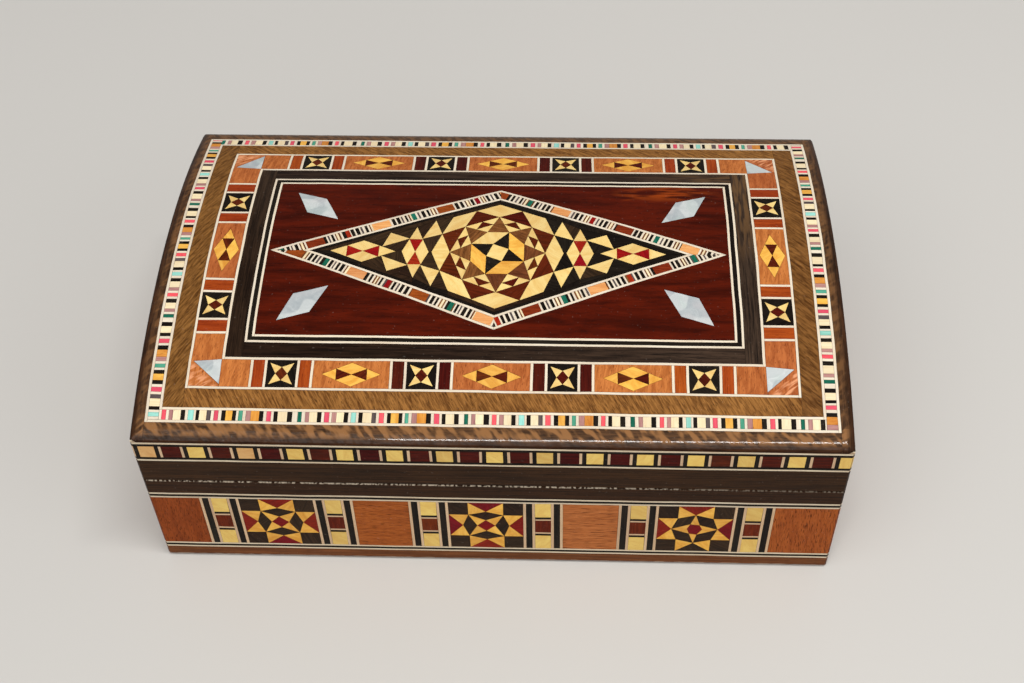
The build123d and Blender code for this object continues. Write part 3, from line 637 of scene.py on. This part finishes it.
def settled(place):  # on the face of the sheet or on its back, unless it is part of a slope
    if place.z > -veneer["slack"]:
        place.z = 0
    elif abs(place.z + veneer["thickness"]) < veneer["slack"]:
        place.z = -veneer["thickness"]
    return place


def joinedTo(start):
    group, seen = [start], {start.index}
    for vert in group:
        for other in (edge.other_vert(vert) for edge in vert.link_edges):
            if other.index not in seen:
                seen.add(other.index)
                group.append(other)
    return group


def readNode(node, onTop=False):
    raw = bmesh.new()
    raw.from_mesh(frame["nodes"][node].data)
    bmesh.ops.remove_doubles(raw, verts=raw.verts, dist=merging["distance"])
    angle = math.radians(merging["angle"])
    bmesh.ops.dissolve_limit(raw, angle_limit=angle, verts=raw.verts, edges=raw.edges)
    raw.verts.ensure_lookup_table()
    raw.verts.index_update()
    raw.faces.index_update()
    found, seen = [], set()
    for start in raw.verts:
        if start.index in seen:
            continue
        group = joinedTo(start)
        order = {vert.index: number for number, vert in enumerate(group)}
        seen.update(order)
        faces = {face.index: face for vert in group for face in vert.link_faces}
        side = "top" if onTop else sideOf([vert.co for vert in group])
        points = [settled(toSheet(side, vert.co)) for vert in group]
        rings = [[order[vert.index] for vert in faces[index].verts] for index in sorted(faces)]
        found.append({"side": side, "points": points, "rings": rings})
    raw.free()
    return found


def prism(side, outline, wood=None):
    area = sum(a[0] * b[1] - b[0] * a[1] for a, b in zip(outline, outline[1:] + outline[:1]))
    ring = outline if area > 0 else outline[::-1]
    count = len(ring)
    points = [Vector((x, y, height)) for height in (-veneer["thickness"], 0) for x, y in ring]
    rings = [list(range(count))[::-1], list(range(count, 2 * count))]
    for corner in range(count):
        after = (corner + 1) % count
        rings.append([corner, after, after + count, corner + count])
    return {"side": side, "points": points, "rings": rings, "wood": wood}


def boxOutline(x0, x1, y0, y1):
    return [(x0, y0), (x1, y0), (x1, y1), (x0, y1)]


def grainTurn(grain, size, draw):
    if grain == "random":
        return draw.uniform(0, math.pi)
    if grain == "long":
        return 0 if size.x > size.y else math.pi / 2
    return math.radians(grain + draw.uniform(-hand["turn"], hand["turn"]))


def layGlue(sheet, glueLayer, width):
    faces = [face for face in sheet.faces if all(vert.co.z > -veneer["flush"] for vert in face.verts)]
    outer = {vert for face in faces for vert in face.verts}
    bmesh.ops.inset_individual(sheet, faces=faces, thickness=width, use_even_offset=True)
    for vert in outer:
        vert[glueLayer] = 1
        vert.co.z = -glue["depth"]


def eased(place, edges):  # onto the rounded arrises
    for axis, edge, way, arris in edges:
        near = (place[axis] - edge) * way
        if place.z > -veneer["upper"] and -veneer["flush"] < near < arris:
            place.z = min(place.z, -drop(near, arris))
    return place


def fillSheet(sheet, layers, tesserae, wood, grain, names, draw):
    for tessera in tesserae:
        low, high = corners(tessera["points"])
        middle = (low + high) / 2
        choice = tessera.get("wood") or (wood(tessera["side"], middle, draw) if callable(wood) else wood)
        way = grain(tessera["side"], middle) if callable(grain) else grain
        if choice not in names:
            names.append(choice)
        tone, seed, turn = draw.random(), draw.uniform(0, 400), grainTurn(way, high - low, draw)
        verts = [sheet.verts.new(point) for point in tessera["points"]]
        for vert in verts:
            vert[layers["tone"]], vert[layers["turn"]], vert[layers["seed"]] = tone, turn, seed
        for ring in tessera["rings"]:
            sheet.faces.new([verts[index] for index in ring]).material_index = names.index(choice)


def veneerPiece(name, tesserae, wood, grain="long", shape=None, rub=None, dirt=None, cuts=(),
                rim=glue["width"]):
    draw = random.Random(name)
    names, points, faces, kinds, normals, places = [], [], [], [], [], []
    marks = {"tone": [], "wear": [], "stain": []}
    for side in sides:
        laid = [tessera for tessera in tesserae if tessera["side"] == side]
        if not laid:
            continue
        sheet = bmesh.new()
        layers = {label: sheet.verts.layers.float.new(label) for label in ("tone", "turn", "seed", "glue")}
        fillSheet(sheet, layers, laid, wood, grain, names, draw)
        if shape is None:
            layGlue(sheet, layers["glue"], rim)
        cutSheet(sheet, side, cuts)
        first, flats, edges = len(points), [], arrises(side)
        sheet.verts.index_update()
        for vert in sheet.verts:
            place = vert.co.copy()
            cosine, sine = math.cos(vert[layers["turn"]]), math.sin(vert[layers["turn"]])
            along, across = place.x * cosine + place.y * sine, place.y * cosine - place.x * sine
            places += [along / mm, across / mm, vert[layers["seed"]] + place.z / mm]
            marks["tone"].append(vert[layers["tone"]])
            marks["wear"].append(rub(side, place) if rub else 0)
            # this mark carries glue stain, the frame's darkening and the painted shade on the moulding's nose
            stain = dirt(side, place) if dirt else 0
            marks["stain"].append(max(stain, glue["stain"] * vert[layers["glue"]]))
            flats.append(place.z > -veneer["flush"])
            place = eased(place, edges)
            points.append(fromSheet(side, wandered(side, shape(side, place) if shape else place)))
        for face in sheet.faces:
            faces.append([vert.index + first for vert in face.verts])
            kinds.append(face.material_index)
            flat = all(flats[vert.index] for vert in face.verts)
            normals += [sheetNormal(side, vert.co) if flat else None for vert in face.verts]
        sheet.free()
    mesh = bpy.data.meshes.new(name)
    mesh.from_pydata(points, [], faces)
    mesh.polygons.foreach_set("material_index", kinds)
    for label, values in marks.items():
        mesh.attributes.new(label, "FLOAT", "POINT").data.foreach_set("value", values)
    mesh.attributes.new("grain", "FLOAT_VECTOR", "POINT").data.foreach_set("vector", places)
    for choice in names:
        mesh.materials.append(materials[choice])
    mesh.update()
    if shape is None:  # flat faces keep the smooth normals of the sheet under them
        mesh.normals_split_custom_set([normals[loop] or polygon.normal
                                       for polygon in mesh.polygons for loop in polygon.loop_indices])
    else:
        mesh.shade_smooth()
        mesh.set_sharp_from_angle(angle=math.radians(38))
    return addToScene(name, mesh)


def seat(piece, *nodes):  # the piece stands for these CAD nodes, on their body
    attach(piece, frame["nodes"][nodes[0]]["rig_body"])
    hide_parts(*nodes)
    return piece


def inlay(name, node, wood, grain="long", onTop=False, leaveOut=None, more=(), **extras):
    tesserae = [tessera for tessera in readNode(node, onTop) if not (leaveOut and leaveOut(tessera))]
    return seat(veneerPiece(name, tesserae + list(more), wood, grain, **extras), node)


# The right-hand star on the front has a middle of six rough sides, laid another way

starPanel = {"width": 19.6 * mm, "height": 21.2 * mm, "pitch": 54.9 * mm, "shift": -1.8 * mm, "low": 6.8 * mm,
             "edge": 0.05 * mm, "shrink": 0.985, "brown": 5 * mm}
panelX = starPanel["shift"] + starPanel["pitch"]
panelZ = starPanel["low"] + starPanel["height"] / 2
shoulder, waist = 0.47, 0.62
heart = [(-0.2, 0.02), (-0.12, 0.22), (0.13, 0.18), (0.21, -0.01), (0.08, -0.24), (-0.13, -0.2)]
north, east, south, west = (0, waist), (waist, 0), (0, -waist), (-waist, 0)
darkRings = [
    [west, (-shoulder, shoulder), north, heart[1]],
    [north, (shoulder, shoulder), east, heart[2]],
    [east, (shoulder, -shoulder), south, heart[4]],
    [south, (-shoulder, -shoulder), west, heart[5]],
]
goldRings = [
    [north, heart[1], heart[2]],
    [east, heart[2], heart[3], heart[4]],
    [south, heart[4], heart[5]],
    [west, heart[5], heart[0], heart[1]],
]


def inOddHeart(tessera):
    middle = sum(tessera["points"], Vector()) / len(tessera["points"])
    across = abs(middle.x - panelX) / (starPanel["width"] / 2)
    up = abs(middle.y - panelZ) / (starPanel["height"] / 2)
    return tessera["side"] == "front" and across < 0.5 and up < 0.5


def oddOutline(points):
    halfPanel = (starPanel["width"] / 2 - starPanel["edge"], starPanel["height"] / 2 - starPanel["edge"])
    middle = Vector((sum(x for x, y in points) / len(points), sum(y for x, y in points) / len(points)))
    shrunk = [middle + (Vector(point) - middle) * starPanel["shrink"] for point in points]
    return [(panelX + point.x * halfPanel[0], panelZ + point.y * halfPanel[1]) for point in shrunk]


def oddTesserae(*rings):
    return [prism("front", oddOutline(ring)) for ring in rings]


# Bands and panels on the four faces

endPanel = 70 * mm
tanShare = 0.3
# painted highlight: reach, depth and share of a thin glint line along the foot arris
footWorn = {"reach": 0.45 * mm, "depth": 0.5 * mm, "share": 0.6}
# painted highlight: reach, depth and shares of the dotted glint line along the box's top arris
rimWorn = {"reach": 0.22 * mm, "depth": 0.3 * mm, "share": 0.6, "fades": 25 * mm, "over": 40 * mm, "by": 0.7}


def starRed(side, middle, draw):
    low = middle.y < panelZ - starPanel["height"] / 4
    brown = side == "front" and low and abs(middle.x - panelX) < starPanel["brown"]
    return "brownEbony" if brown else "frontRed"


def pearGrain(side, middle):  # upright in the end panels of the front, level between the stars
    return 90 if side != "front" or abs(middle.x) > endPanel else 0


def pearWood(side, middle, draw):
    if side != "front" or abs(middle.x) < endPanel:
        return "palePear" if side == "front" and middle.x > 0 else "frontPear"
    return "endPear" if middle.x < 0 else "frontPear"


def cellWood(side, middle, draw):
    return "tanCell" if side == "front" and draw.random() < tanShare else "yellowCell"


# a thin painted highlight along the foot arris, on every side
def footWear(side, place):
    return footWorn["share"] if place.y < foot + footWorn["reach"] and place.z > -footWorn["depth"] else 0


def rimWear(side, place):  # painted highlight: the box's top arris gets a bright dotted glint line, full on the front and fading towards its right, and a fixed share on the other sides
    if abs(place.y - boxTop) > rimWorn["reach"] or place.z < -rimWorn["depth"]:
        return 0
    faded = rimWorn["by"] * clamped((place.x - rimWorn["fades"]) / rimWorn["over"])
    return 1 - faded if side == "front" else rimWorn["share"]


# Between cream and red cells stand two slips, the dark one beside the cream cell

slips = {"cream": 1.2 * mm, "pitch": 12.5 * mm, "dark": 1.0 * mm, "gap": 0.02 * mm, "widest": 3 * mm}


def isSlip(tessera):
    low, high = corners(tessera["points"])
    return tessera["side"] == "front" and high.x - low.x < slips["widest"]


def splitSlips():
    found = []
    for tessera in filter(isSlip, readNode("lid_dark_lines")):
        low, high = corners(tessera["points"])
        fromCream = ((low.x + high.x) / 2 - slips["cream"]) / slips["pitch"]
        darkFirst = fromCream > round(fromCream)
        joint = low.x + slips["dark"] if darkFirst else high.x - slips["dark"]
        order = ("ebony", "agedHolly") if darkFirst else ("agedHolly", "ebony")
        found.append(prism("front", boxOutline(low.x, joint - slips["gap"], low.y, high.y), order[0]))
        found.append(prism("front", boxOutline(joint + slips["gap"], high.x, low.y, high.y), order[1]))
    return found


inlay("plinthBand", "box_plinth_band", "plinthWalnut", rub=footWear)
inlay("boxLightLines", "box_light_lines", "sideHolly", rim=glue["lines"])
inlay("boxDarkLines", "box_dark_lines", "ebony")
inlay("boxRim", "box_rim_band", "rimWalnut", rub=rimWear)
inlay("boxPearPanels", "box_pear_panels", pearWood, pearGrain)
inlay("boxLightBars", "box_light_bars", "agedHolly")
inlay("boxDarkBars", "box_dark_bars", "ebony")
inlay("boxYellowCells", "box_yellow_cells", "yellowCell", "random")
inlay("boxRedCells", "box_red_cells", "frontRust")
inlay("starDark", "box_star_ebony", "brownEbony", "random", leaveOut=inOddHeart, more=oddTesserae(*darkRings))
inlay("starGold", "box_star_gold", "goldWood", "random", leaveOut=inOddHeart, more=oddTesserae(*goldRings))
inlay("starRed", "box_star_red", starRed, "random", leaveOut=inOddHeart, more=oddTesserae(heart))
inlay("lidRim", "lid_rim_band", "rimWalnut", rub=rimWear)
inlay("lidLightLines", "lid_light_lines", "sideHolly", rim=glue["lines"])
inlay("lidDarkLines", "lid_dark_lines", "ebony", leaveOut=isSlip, more=splitSlips())
inlay("lidYellowCells", "lid_yellow_cells", cellWood, "random")
inlay("lidRedCells", "lid_red_cells", "frontMaroon")
print("faces veneered")


# The moulding round the curved top rolls over at its outer edge, and its corners are rounded

moulding = {"nose": 3.4 * mm, "depth": 0.76 * mm, "corner": 1.6 * mm}
mouldingWorn = {"front": 6 * mm, "elsewhere": 0.4, "from": 0.3, "over": 0.35}
# painted shade on the moulding's rolled-over nose: its share and reach
mouldingDirty = {"share": 0.9, "reach": 0.5}
mouldingShares = (0.02, 0.08, 0.18, 0.32, 0.5, 0.72, 1, 1.35)
mouldingCuts = [(axis, way * (reach - share * moulding["nose"]))
                for axis, reach in ((0, halfLength), (1, halfArc))
                for way in (-1, 1) for share in mouldingShares]


def fromEdges(place):
    return max(halfLength - abs(place.x), 0), max(halfArc - abs(place.y), 0)


def noseShape(side, place):
    inX, inS = fromEdges(place)
    if place.z > -veneer["upper"]:
        share = max(1 - min(inX, inS) / moulding["nose"], 0)
        place.z = -moulding["depth"] * (1 - math.sqrt(max(1 - share ** 2, 0)))
    corner = moulding["corner"]
    reach = math.hypot(corner - inX, corner - inS)
    if max(inX, inS) < corner < reach:
        pull = corner / reach
        place.x = math.copysign(halfLength - corner + (corner - inX) * pull, place.x)
        place.y = math.copysign(halfArc - corner + (corner - inS) * pull, place.y)
    return place


def mouldingWear(side, place):  # worn most along the front
    most = 1 if place.y < mouldingWorn["front"] - halfArc else mouldingWorn["elsewhere"]
    share = min(fromEdges(place)) / moulding["nose"]
    return most * clamped((share - mouldingWorn["from"]) / mouldingWorn["over"])


# painted shade: the rolled-over nose is darkened towards the outer edge
def mouldingDirt(side, place):
    inside = min(fromEdges(place)) / (mouldingDirty["reach"] * moulding["nose"])
    return mouldingDirty["share"] * max(0, 1 - inside) ** 0.5


# Woods, figure and stains of the top

figure = {"column": 70 * mm, "columnHalf": 30 * mm, "left": 56, "right": -50, "near": -62, "far": -40}
topCells = {"heart": 9 * mm, "innerBars": 32 * mm, "longRow": 30 * mm, "oddGold": 5 * mm, "odd": 2.5 * mm,
            "blackLeft": 0.3, "blackRight": 0.65}
frameTone = {"brown": 0.8, "fromX": 40 * mm, "overX": 25 * mm, "fromY": -5 * mm, "overY": 20 * mm,
             "black": 0.75, "to": 20 * mm, "over": 90 * mm}
flameAt = {"x": 46 * mm, "y": 25 * mm, "long": 15 * mm, "wide": 4 * mm}
slivers = {"beyond": 112.3 * mm, "fade": 1.2 * mm, "x": 69 * mm, "s": 35.4 * mm}
facetCuts = [(axis, way * place * mm) for axis, places in ((0, (70.5, 72.5, 74.5)), (1, (37, 39, 41)))
             for place in places for way in (-1, 1)]


def inColumn(middle):
    return abs(middle.x) > figure["column"] and abs(middle.y) < figure["columnHalf"]


def borderGrain(side, middle):  # the figure leans down to the right, and on the left column up to the right
    if inColumn(middle):
        return figure["left"] if middle.x < 0 else figure["right"]
    return figure["near"] if middle.y < 0 else figure["far"]


def borderWood(side, middle, draw):
    return "sideWalnut" if inColumn(middle) else "borderWalnut"


def browned(side, place):  # the dark frame is browner at its far right
    toRight = clamped((place.x - frameTone["fromX"]) / frameTone["overX"])
    return frameTone["brown"] * toRight * clamped((place.y - frameTone["fromY"]) / frameTone["overY"])


def frameStain(side, place):  # and blackest at its near left corner
    return frameTone["black"] * clamped((frameTone["to"] - place.x - place.y) / frameTone["over"])


def flame(side, place):  # an orange streak near the far right corner of the mahogany
    away = math.hypot((place.x - flameAt["x"]) / flameAt["long"], (place.y - flameAt["y"]) / flameAt["wide"])
    return max(1 - away, 0) ** 0.5


def cornerFacets(side, place):  # paler slivers of pear lie between a pearl triangle and the frame's corner
    x, s = abs(place.x), abs(place.y)
    if x < slivers["x"] or s < slivers["s"]:
        return 0
    return clamped((x + s - slivers["beyond"]) / slivers["fade"])


def topBarWood(side, middle, draw):
    inner = abs(middle.x) < topCells["innerBars"] and abs(middle.y) > topCells["longRow"]
    return "darkBar" if inner else "padauk"


def groundWood(side, middle, draw):
    inHeart = math.hypot(middle.x, middle.y) < topCells["heart"]
    black = topCells["blackLeft" if middle.x < 0 else "blackRight"]
    return "ebony" if inHeart or draw.random() < black else "brownEbony"


def topGoldWood(side, middle, draw):
    return "boxwood" if math.hypot(middle.x, middle.y - topCells["oddGold"]) < topCells["odd"] else "goldWood"


def inlayTop(name, node, wood, grain="long", **extras):
    inlay(name, node, wood, grain, onTop=True, **extras)


inlayTop("walnutBorder", "lid_walnut_border", borderWood, borderGrain)
inlayTop("ebonyBorder", "lid_ebony_border", "greyEbony", dirt=frameStain, rub=browned)
inlayTop("topPearPanels", "lid_pear_panels", "pear", 84, rub=cornerFacets, cuts=facetCuts)
inlayTop("topBars", "lid_padauk_bars", topBarWood)
inlayTop("starSquares", "lid_star_squares", "ebony", "random")
inlayTop("starSparks", "lid_star_sparks", "boxwood", "random")
inlayTop("goldLozenges", "lid_gold_lozenges", "goldWood", "random")
inlayTop("brownWedges", "lid_brown_wedges", "maroon", "random")
inlayTop("pearlCorners", "lid_pearl_corners", "pearl", rim=glue["lines"])
inlayTop("mahoganyField", "lid_mahogany_field", "mahogany", 0, rub=flame)
inlayTop("pearlLozenges", "lid_pearl_lozenges", "pearl", rim=glue["lines"])
inlayTop("topLightLines", "lid_dome_light_lines", "holly", rim=glue["lines"])
inlayTop("topDarkLines", "lid_dome_dark_lines", "ebony")
inlayTop("starGround", "lid_star_ground", groundWood, "random")
inlayTop("starCream", "lid_star_cream", "boxwood", "random")
inlayTop("topStarGold", "lid_star_gold", topGoldWood, "random")
inlayTop("topStarBrown", "lid_star_brown", "brownWood", "random")
inlayTop("topStarMaroon", "lid_star_maroon", "maroon", "random")
inlayTop("topStarRed", "lid_star_red", "redWood", "random")
inlayTop("edgeMoulding", "lid_edge_moulding", "edgeWalnut",
         shape=noseShape, rub=mouldingWear, dirt=mouldingDirt, cuts=mouldingCuts)
print("top veneered")


# Coloured slices in the row of cells round the top, each with its width in millimetres

cellRow = {"width": 2.75 * mm, "joint": 0.03 * mm, "scatter": 0.12}
cellCycle = [
    ("pinkDyed", 1.2), ("holly", 0.7), ("mauveDyed", 1.1), ("creamWood", 2.0), ("ebony", 1.0), ("holly", 0.8),
    ("aquaDyed", 1.3), ("holly", 0.6), ("ebony", 0.9), ("creamWood", 2.1), ("slateDyed", 1.1), ("holly", 0.7),
    ("pinkDyed", 1.2), ("holly", 0.8), ("ebony", 1.0), ("goldWood", 1.8), ("ebony", 1.0), ("holly", 0.7),
    ("greenDyed", 1.0), ("holly", 0.8), ("mauveDyed", 1.3), ("orangeWood", 2.1), ("ebony", 1.1),
    ("holly", 0.8), ("pinkDyed", 1.2), ("holly", 0.7), ("ebony", 0.9), ("creamWood", 2.3), ("ebony", 1.2),
    ("holly", 1.3), ("tealDyed", 1.0), ("holly", 0.8), ("mauveDyed", 1.1), ("creamWood", 2.1),
    ("ebony", 1.2), ("holly", 0.8),
]
longRows = ((-1, 35), (1, 30))  # near and far row, and the slice that each starts with
shortRows = ((-1, 5), (1, 20))


def cellsAlong(low, high, index, draw):  # slices of a cut log of coloured sticks, from one end to the other
    place, found = low, []
    while place < high:
        wood, width = cellCycle[index % len(cellCycle)]
        end = min(place + width * mm * draw.uniform(1 - cellRow["scatter"], 1 + cellRow["scatter"]), high)
        found.append((wood, place, end))
        place, index = end, index + 1
    return found


def makeCellRow():
    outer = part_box("lid_cell_band")[1]
    endX, endS = outer.x, radius * math.asin(outer.y / radius)
    gap, width = cellRow["joint"], cellRow["width"] - 2 * cellRow["joint"]
    draw = random.Random("cells")
    slices = []
    for way, first in longRows:
        across = sorted((way * endS, way * (endS - width)))
        for wood, low, high in cellsAlong(width - endX + 2 * gap, endX - width - 2 * gap, first, draw):
            slices.append(prism("top", boxOutline(low + gap, high - gap, *across), wood))
    for way, first in shortRows:
        across = sorted((way * endX, way * (endX - width)))
        for wood, low, high in cellsAlong(-endS, endS, first, draw):
            slices.append(prism("top", boxOutline(*across, low + gap, high - gap), wood))
    seat(veneerPiece("cellRow", slices, "holly"), "lid_cell_band")


# Stripes along the large lozenge

lozenge = {"reach": 61 * mm, "rise": 25.7 * mm, "line": 0.7 * mm, "band": 2.75 * mm, "joint": 0.03 * mm,
           "thinnest": 0.2 * mm, "scatter": (0.8, 1.25), "beyond": 4 * mm}
stripeSet = [
    ("ebony", 0.8), ("holly", 0.5), ("ebony", 0.75), ("holly", 0.5), ("brownWood", 0.4), ("creamWood", 0.5),
    ("brownWood", 0.35), ("holly", 0.45), ("ebony", 0.7), ("holly", 0.55), ("slateDyed", 0.45),
    ("holly", 0.5),
]
bandParts = [("tealDyed", 1.2), ("stripes", 6.3), ("apricotWood", 5.0), ("stripes", 6.3),
             ("redWood", 1.2), ("stripes", 6.3), ("redBrown", 4.8), ("stripes", 6.3)]
lozengeEdges = [  # which quarter, and where along the box its green stripe lies
    {"x": -1, "y": -1, "green": -46.9 * mm, "way": 1},
    {"x": -1, "y": 1, "green": -23.6 * mm, "way": -1},
    {"x": 1, "y": 1, "green": 8.5 * mm, "way": 1},
    {"x": 1, "y": -1, "green": 18.3 * mm, "way": 1},
]


def clipped(outline, normal, limit):
    found = []
    for here, after in zip(outline, outline[1:] + outline[:1]):
        a, b = (end[0] * normal[0] + end[1] * normal[1] - limit for end in (here, after))
        if a <= 0:
            found.append(here)
        if (a < 0 < b) or (b < 0 < a):
            share = a / (a - b)
            found.append((here[0] + (after[0] - here[0]) * share, here[1] + (after[1] - here[1]) * share))
    return found


def stripesFrom(draw, parts):  # the repeating band, without end
    while True:
        for wood, width in parts:
            if wood != "stripes":
                yield wood, width * mm
                continue
            left, index = width * mm, draw.randrange(len(stripeSet))
            while left > lozenge["thinnest"]:
                thin, size = stripeSet[index % len(stripeSet)]
                size = min(size * mm * draw.uniform(*lozenge["scatter"]), left)
                yield thin, size
                left, index = left - size, index + 1


def makeLozengeBand():
    draw = random.Random("stripes")
    slices = []
    side = math.hypot(lozenge["reach"], lozenge["rise"])
    gap = lozenge["joint"]
    near, far = lozenge["line"] + gap, lozenge["line"] + lozenge["band"] - gap
    for edge in lozengeEdges:
        tip = Vector((edge["x"] * lozenge["reach"], 0))
        crest = Vector((0, edge["y"] * lozenge["rise"]))
        start, end = (tip, crest) if edge["x"] < 0 else (crest, tip)
        along = (end - start) / side
        inward = Vector((-along.y, along.x))
        if inward.dot(-(start + end)) < 0:
            inward = -inward
        green = (edge["green"] - start.x) / along.x
        for way in (1, -1):
            place = green
            pattern = stripesFrom(draw, bandParts if way == edge["way"] else bandParts[:0:-1] + bandParts[:1])
            while -lozenge["beyond"] < place < side + lozenge["beyond"]:
                wood, width = next(pattern)
                low, high = sorted((place, place + way * width))
                outline = boxOutline(low + gap / 2, high - gap / 2, near, far)
                outline = [tuple(start + along * t + inward * w) for t, w in outline]
                outline = clipped(outline, (-edge["x"], 0), -gap)
                outline = clipped(outline, (0, -edge["y"]), -gap)
                if len(outline) > 2:
                    slices.append(prism("top", outline, wood))
                place += way * width
    seat(veneerPiece("lozengeStripes", slices, "holly"), "lid_lozenge_band")


makeCellRow()
makeLozengeBand()
print("coloured bands laid")


# Boards and hinges keep their CAD shape

for node, thing in frame["nodes"].items():
    if slotOf[node] in ("core", "brass"):
        thing.data.materials.clear()
        thing.data.materials.append(materials["bareWood" if slotOf[node] == "core" else "brass"])


# Linings and felt

lining = {"thickness": 0.9 * mm, "padEdge": 0.6 * mm, "feltEdge": 0.25 * mm, "cuts": 14, "underLid": 5.0 * mm,
          "gap": 0.05 * mm, "topGap": 0.02 * mm, "rows": 12, "columns": 24}
underLid = radius - lining["underLid"]


def deselectAll():
    bpy.ops.object.select_all(action="DESELECT")


def setMode(mode):
    bpy.ops.object.mode_set(mode=mode)


def named(name):  # the primitive just added, with its size and place in its mesh
    piece = bpy.context.object
    piece.name = piece.data.name = name
    bpy.ops.object.transform_apply(location=True, rotation=True, scale=True)
    return piece


def selectFaces(piece, choose):
    setMode("EDIT")
    bpy.ops.mesh.select_mode(type="FACE")
    bpy.ops.mesh.select_all(action="DESELECT")
    setMode("OBJECT")
    for polygon in piece.data.polygons:
        polygon.select = choose(polygon)
    setMode("EDIT")


def startBlock(name, low, high):
    deselectAll()
    bpy.ops.mesh.primitive_cube_add(size=1, location=(low + high) / 2, scale=high - low)
    return named(name)


def applyAll(piece, *settings):
    for kind, values in settings:
        modifier = piece.modifiers.new(kind.lower(), kind)
        for label, value in values.items():
            setattr(modifier, label, value)
        bpy.ops.object.modifier_apply(modifier=modifier.name)
    bpy.ops.object.shade_smooth_by_angle(angle=math.radians(40))


def rounded(width, segments, angle):
    return "BEVEL", {"width": width, "segments": segments, "angle_limit": math.radians(angle)}


def finishCloth(piece, cloth, node):
    piece.data.materials.append(materials[cloth])
    return seat(piece, node)


def finishLining(piece, node, *more):
    applyAll(piece, ("SOLIDIFY", {"thickness": lining["thickness"], "offset": -1}), *more)
    return finishCloth(piece, "velvet", node)


def makePad(name, node, cloth, edge):
    piece = startBlock(name, *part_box(node))
    applyAll(piece, rounded(edge, 4, 30))
    return finishCloth(piece, cloth, node)


def makeRing(name, low, high):  # cloth round the four walls, open above and below
    piece = startBlock(name, low, high)
    selectFaces(piece, lambda polygon: abs(polygon.normal.z) > 0.5)
    bpy.ops.mesh.delete(type="FACE")
    bpy.ops.mesh.select_all(action="SELECT")
    bpy.ops.mesh.subdivide(number_cuts=lining["cuts"])
    setMode("OBJECT")
    return piece


def underDome(y):
    return centreHeight + math.sqrt(underLid ** 2 - y ** 2)


def makeBoxLining(low, high):
    pad = makePad("floorPad", "box_lining_floor", "velvet", lining["padEdge"])
    walls = makeRing("boxVelvet", low, high)
    finishLining(walls, "box_lining_walls", rounded(0.3 * mm, 2, 60))


def makeLidLining(low, high):
    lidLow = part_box("lid_lining_walls")[0]
    edge = underDome(high.y) - lining["thickness"]
    lidWalls = makeRing("lidVelvet", lidLow, Vector((high.x, high.y, edge)))
    for vert in lidWalls.data.vertices:
        share = (vert.co.z - lidLow.z) / (edge - lidLow.z)
        crest = underDome(vert.co.y) - lining["thickness"] - lining["gap"]
        vert.co.z = lidLow.z + share * (crest - lidLow.z)
    finishLining(lidWalls, "lid_lining_walls")
    deselectAll()
    bpy.ops.mesh.primitive_grid_add(x_subdivisions=lining["rows"], y_subdivisions=lining["columns"], size=1)
    bpy.context.object.scale = (high.x - low.x, high.y - low.y, 1)
    lidTop = named("lidTopVelvet")
    for vert in lidTop.data.vertices:
        vert.co.z = underDome(vert.co.y) - lining["topGap"]
    finishLining(lidTop, "lid_lining_top")


def makeFelt():
    felt = makePad("feltBase", "box_felt", "felt", lining["feltEdge"])


def makeLinings():
    low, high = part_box("box_lining_walls")
    makeBoxLining(low, high)
    makeLidLining(low, high)
    makeFelt()


makeLinings()
print("linings laid")


# Hinge screws: slotted heads let into the leaves

screw = {"radius": 0.95 * mm, "depth": 0.5 * mm, "proud": 0.05 * mm, "slot": 0.24 * mm, "slotDepth": 0.2 * mm,
         "fromLeafEnd": 9 * mm, "spread": 5 * mm, "fromLeafEdge": 1.6 * mm}


def makeScrew(name, place, way, turn):
    deselectAll()
    bpy.ops.mesh.primitive_cylinder_add(vertices=28, radius=screw["radius"], depth=screw["depth"],
                                        location=(0, 0, screw["proud"] - screw["depth"] / 2))
    head = named(name)
    setMode("EDIT")
    for edge in (-1, 1):
        bpy.ops.mesh.select_all(action="SELECT")
        bpy.ops.mesh.bisect(plane_co=(0, edge * screw["slot"] / 2, 0), plane_no=(0, 1, 0))
    setMode("OBJECT")
    selectFaces(head, lambda polygon: polygon.normal.z > 0.9 and abs(polygon.center.y) < 0.4 * screw["slot"])
    bpy.ops.mesh.extrude_region_move(TRANSFORM_OT_translate={"value": (0, 0, -screw["slotDepth"])})
    setMode("OBJECT")
    applyAll(head, rounded(0.05 * mm, 2, 50))
    flip = Matrix.Rotation(0 if way > 0 else math.pi, 4, "X")
    head.matrix_world = Matrix.Translation(place) @ flip @ Matrix.Rotation(turn, 4, "Z")
    bpy.ops.object.transform_apply(location=True, rotation=True, scale=True)
    head.data.materials.append(materials["brass"])
    return head


def makeScrews():
    draw = random.Random("screws")
    for body, face, way in (("box", boxTop, 1), ("lid", lidBottom, -1)):
        node = f"hinge_{body}_leaves"
        low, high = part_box(node)
        middles = (low.x + screw["fromLeafEnd"], high.x - screw["fromLeafEnd"])
        places = [middle + shift for middle in middles for shift in (-screw["spread"], screw["spread"])]
        for number, x in enumerate(places, 1):
            place = (x, low.y + screw["fromLeafEdge"], face)
            head = makeScrew(f"{body}Screw{number}", place, way, draw.uniform(0, math.pi))
            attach(head, body)


makeScrews()
print("screws set")


# Floor

floorLook = {"size": 12, "light": (206, 203, 198), "dark": (198, 195, 190), "rough": 0.6}


def makeFloor():
    deselectAll()
    bpy.ops.mesh.primitive_plane_add(size=floorLook["size"], location=(0, 0, 0))
    floor = named("floor")
    material, tree, shader = startMaterial("paleFloor")
    shade = cloud(objectPlace(tree), 3, 2, 0.5)
    feed(shader, {"Base Color": blend(shade, paint(*floorLook["dark"]), paint(*floorLook["light"])),
                  "Roughness": floorLook["rough"]})
    floor.data.materials.append(material)


makeFloor()
print("floor laid")
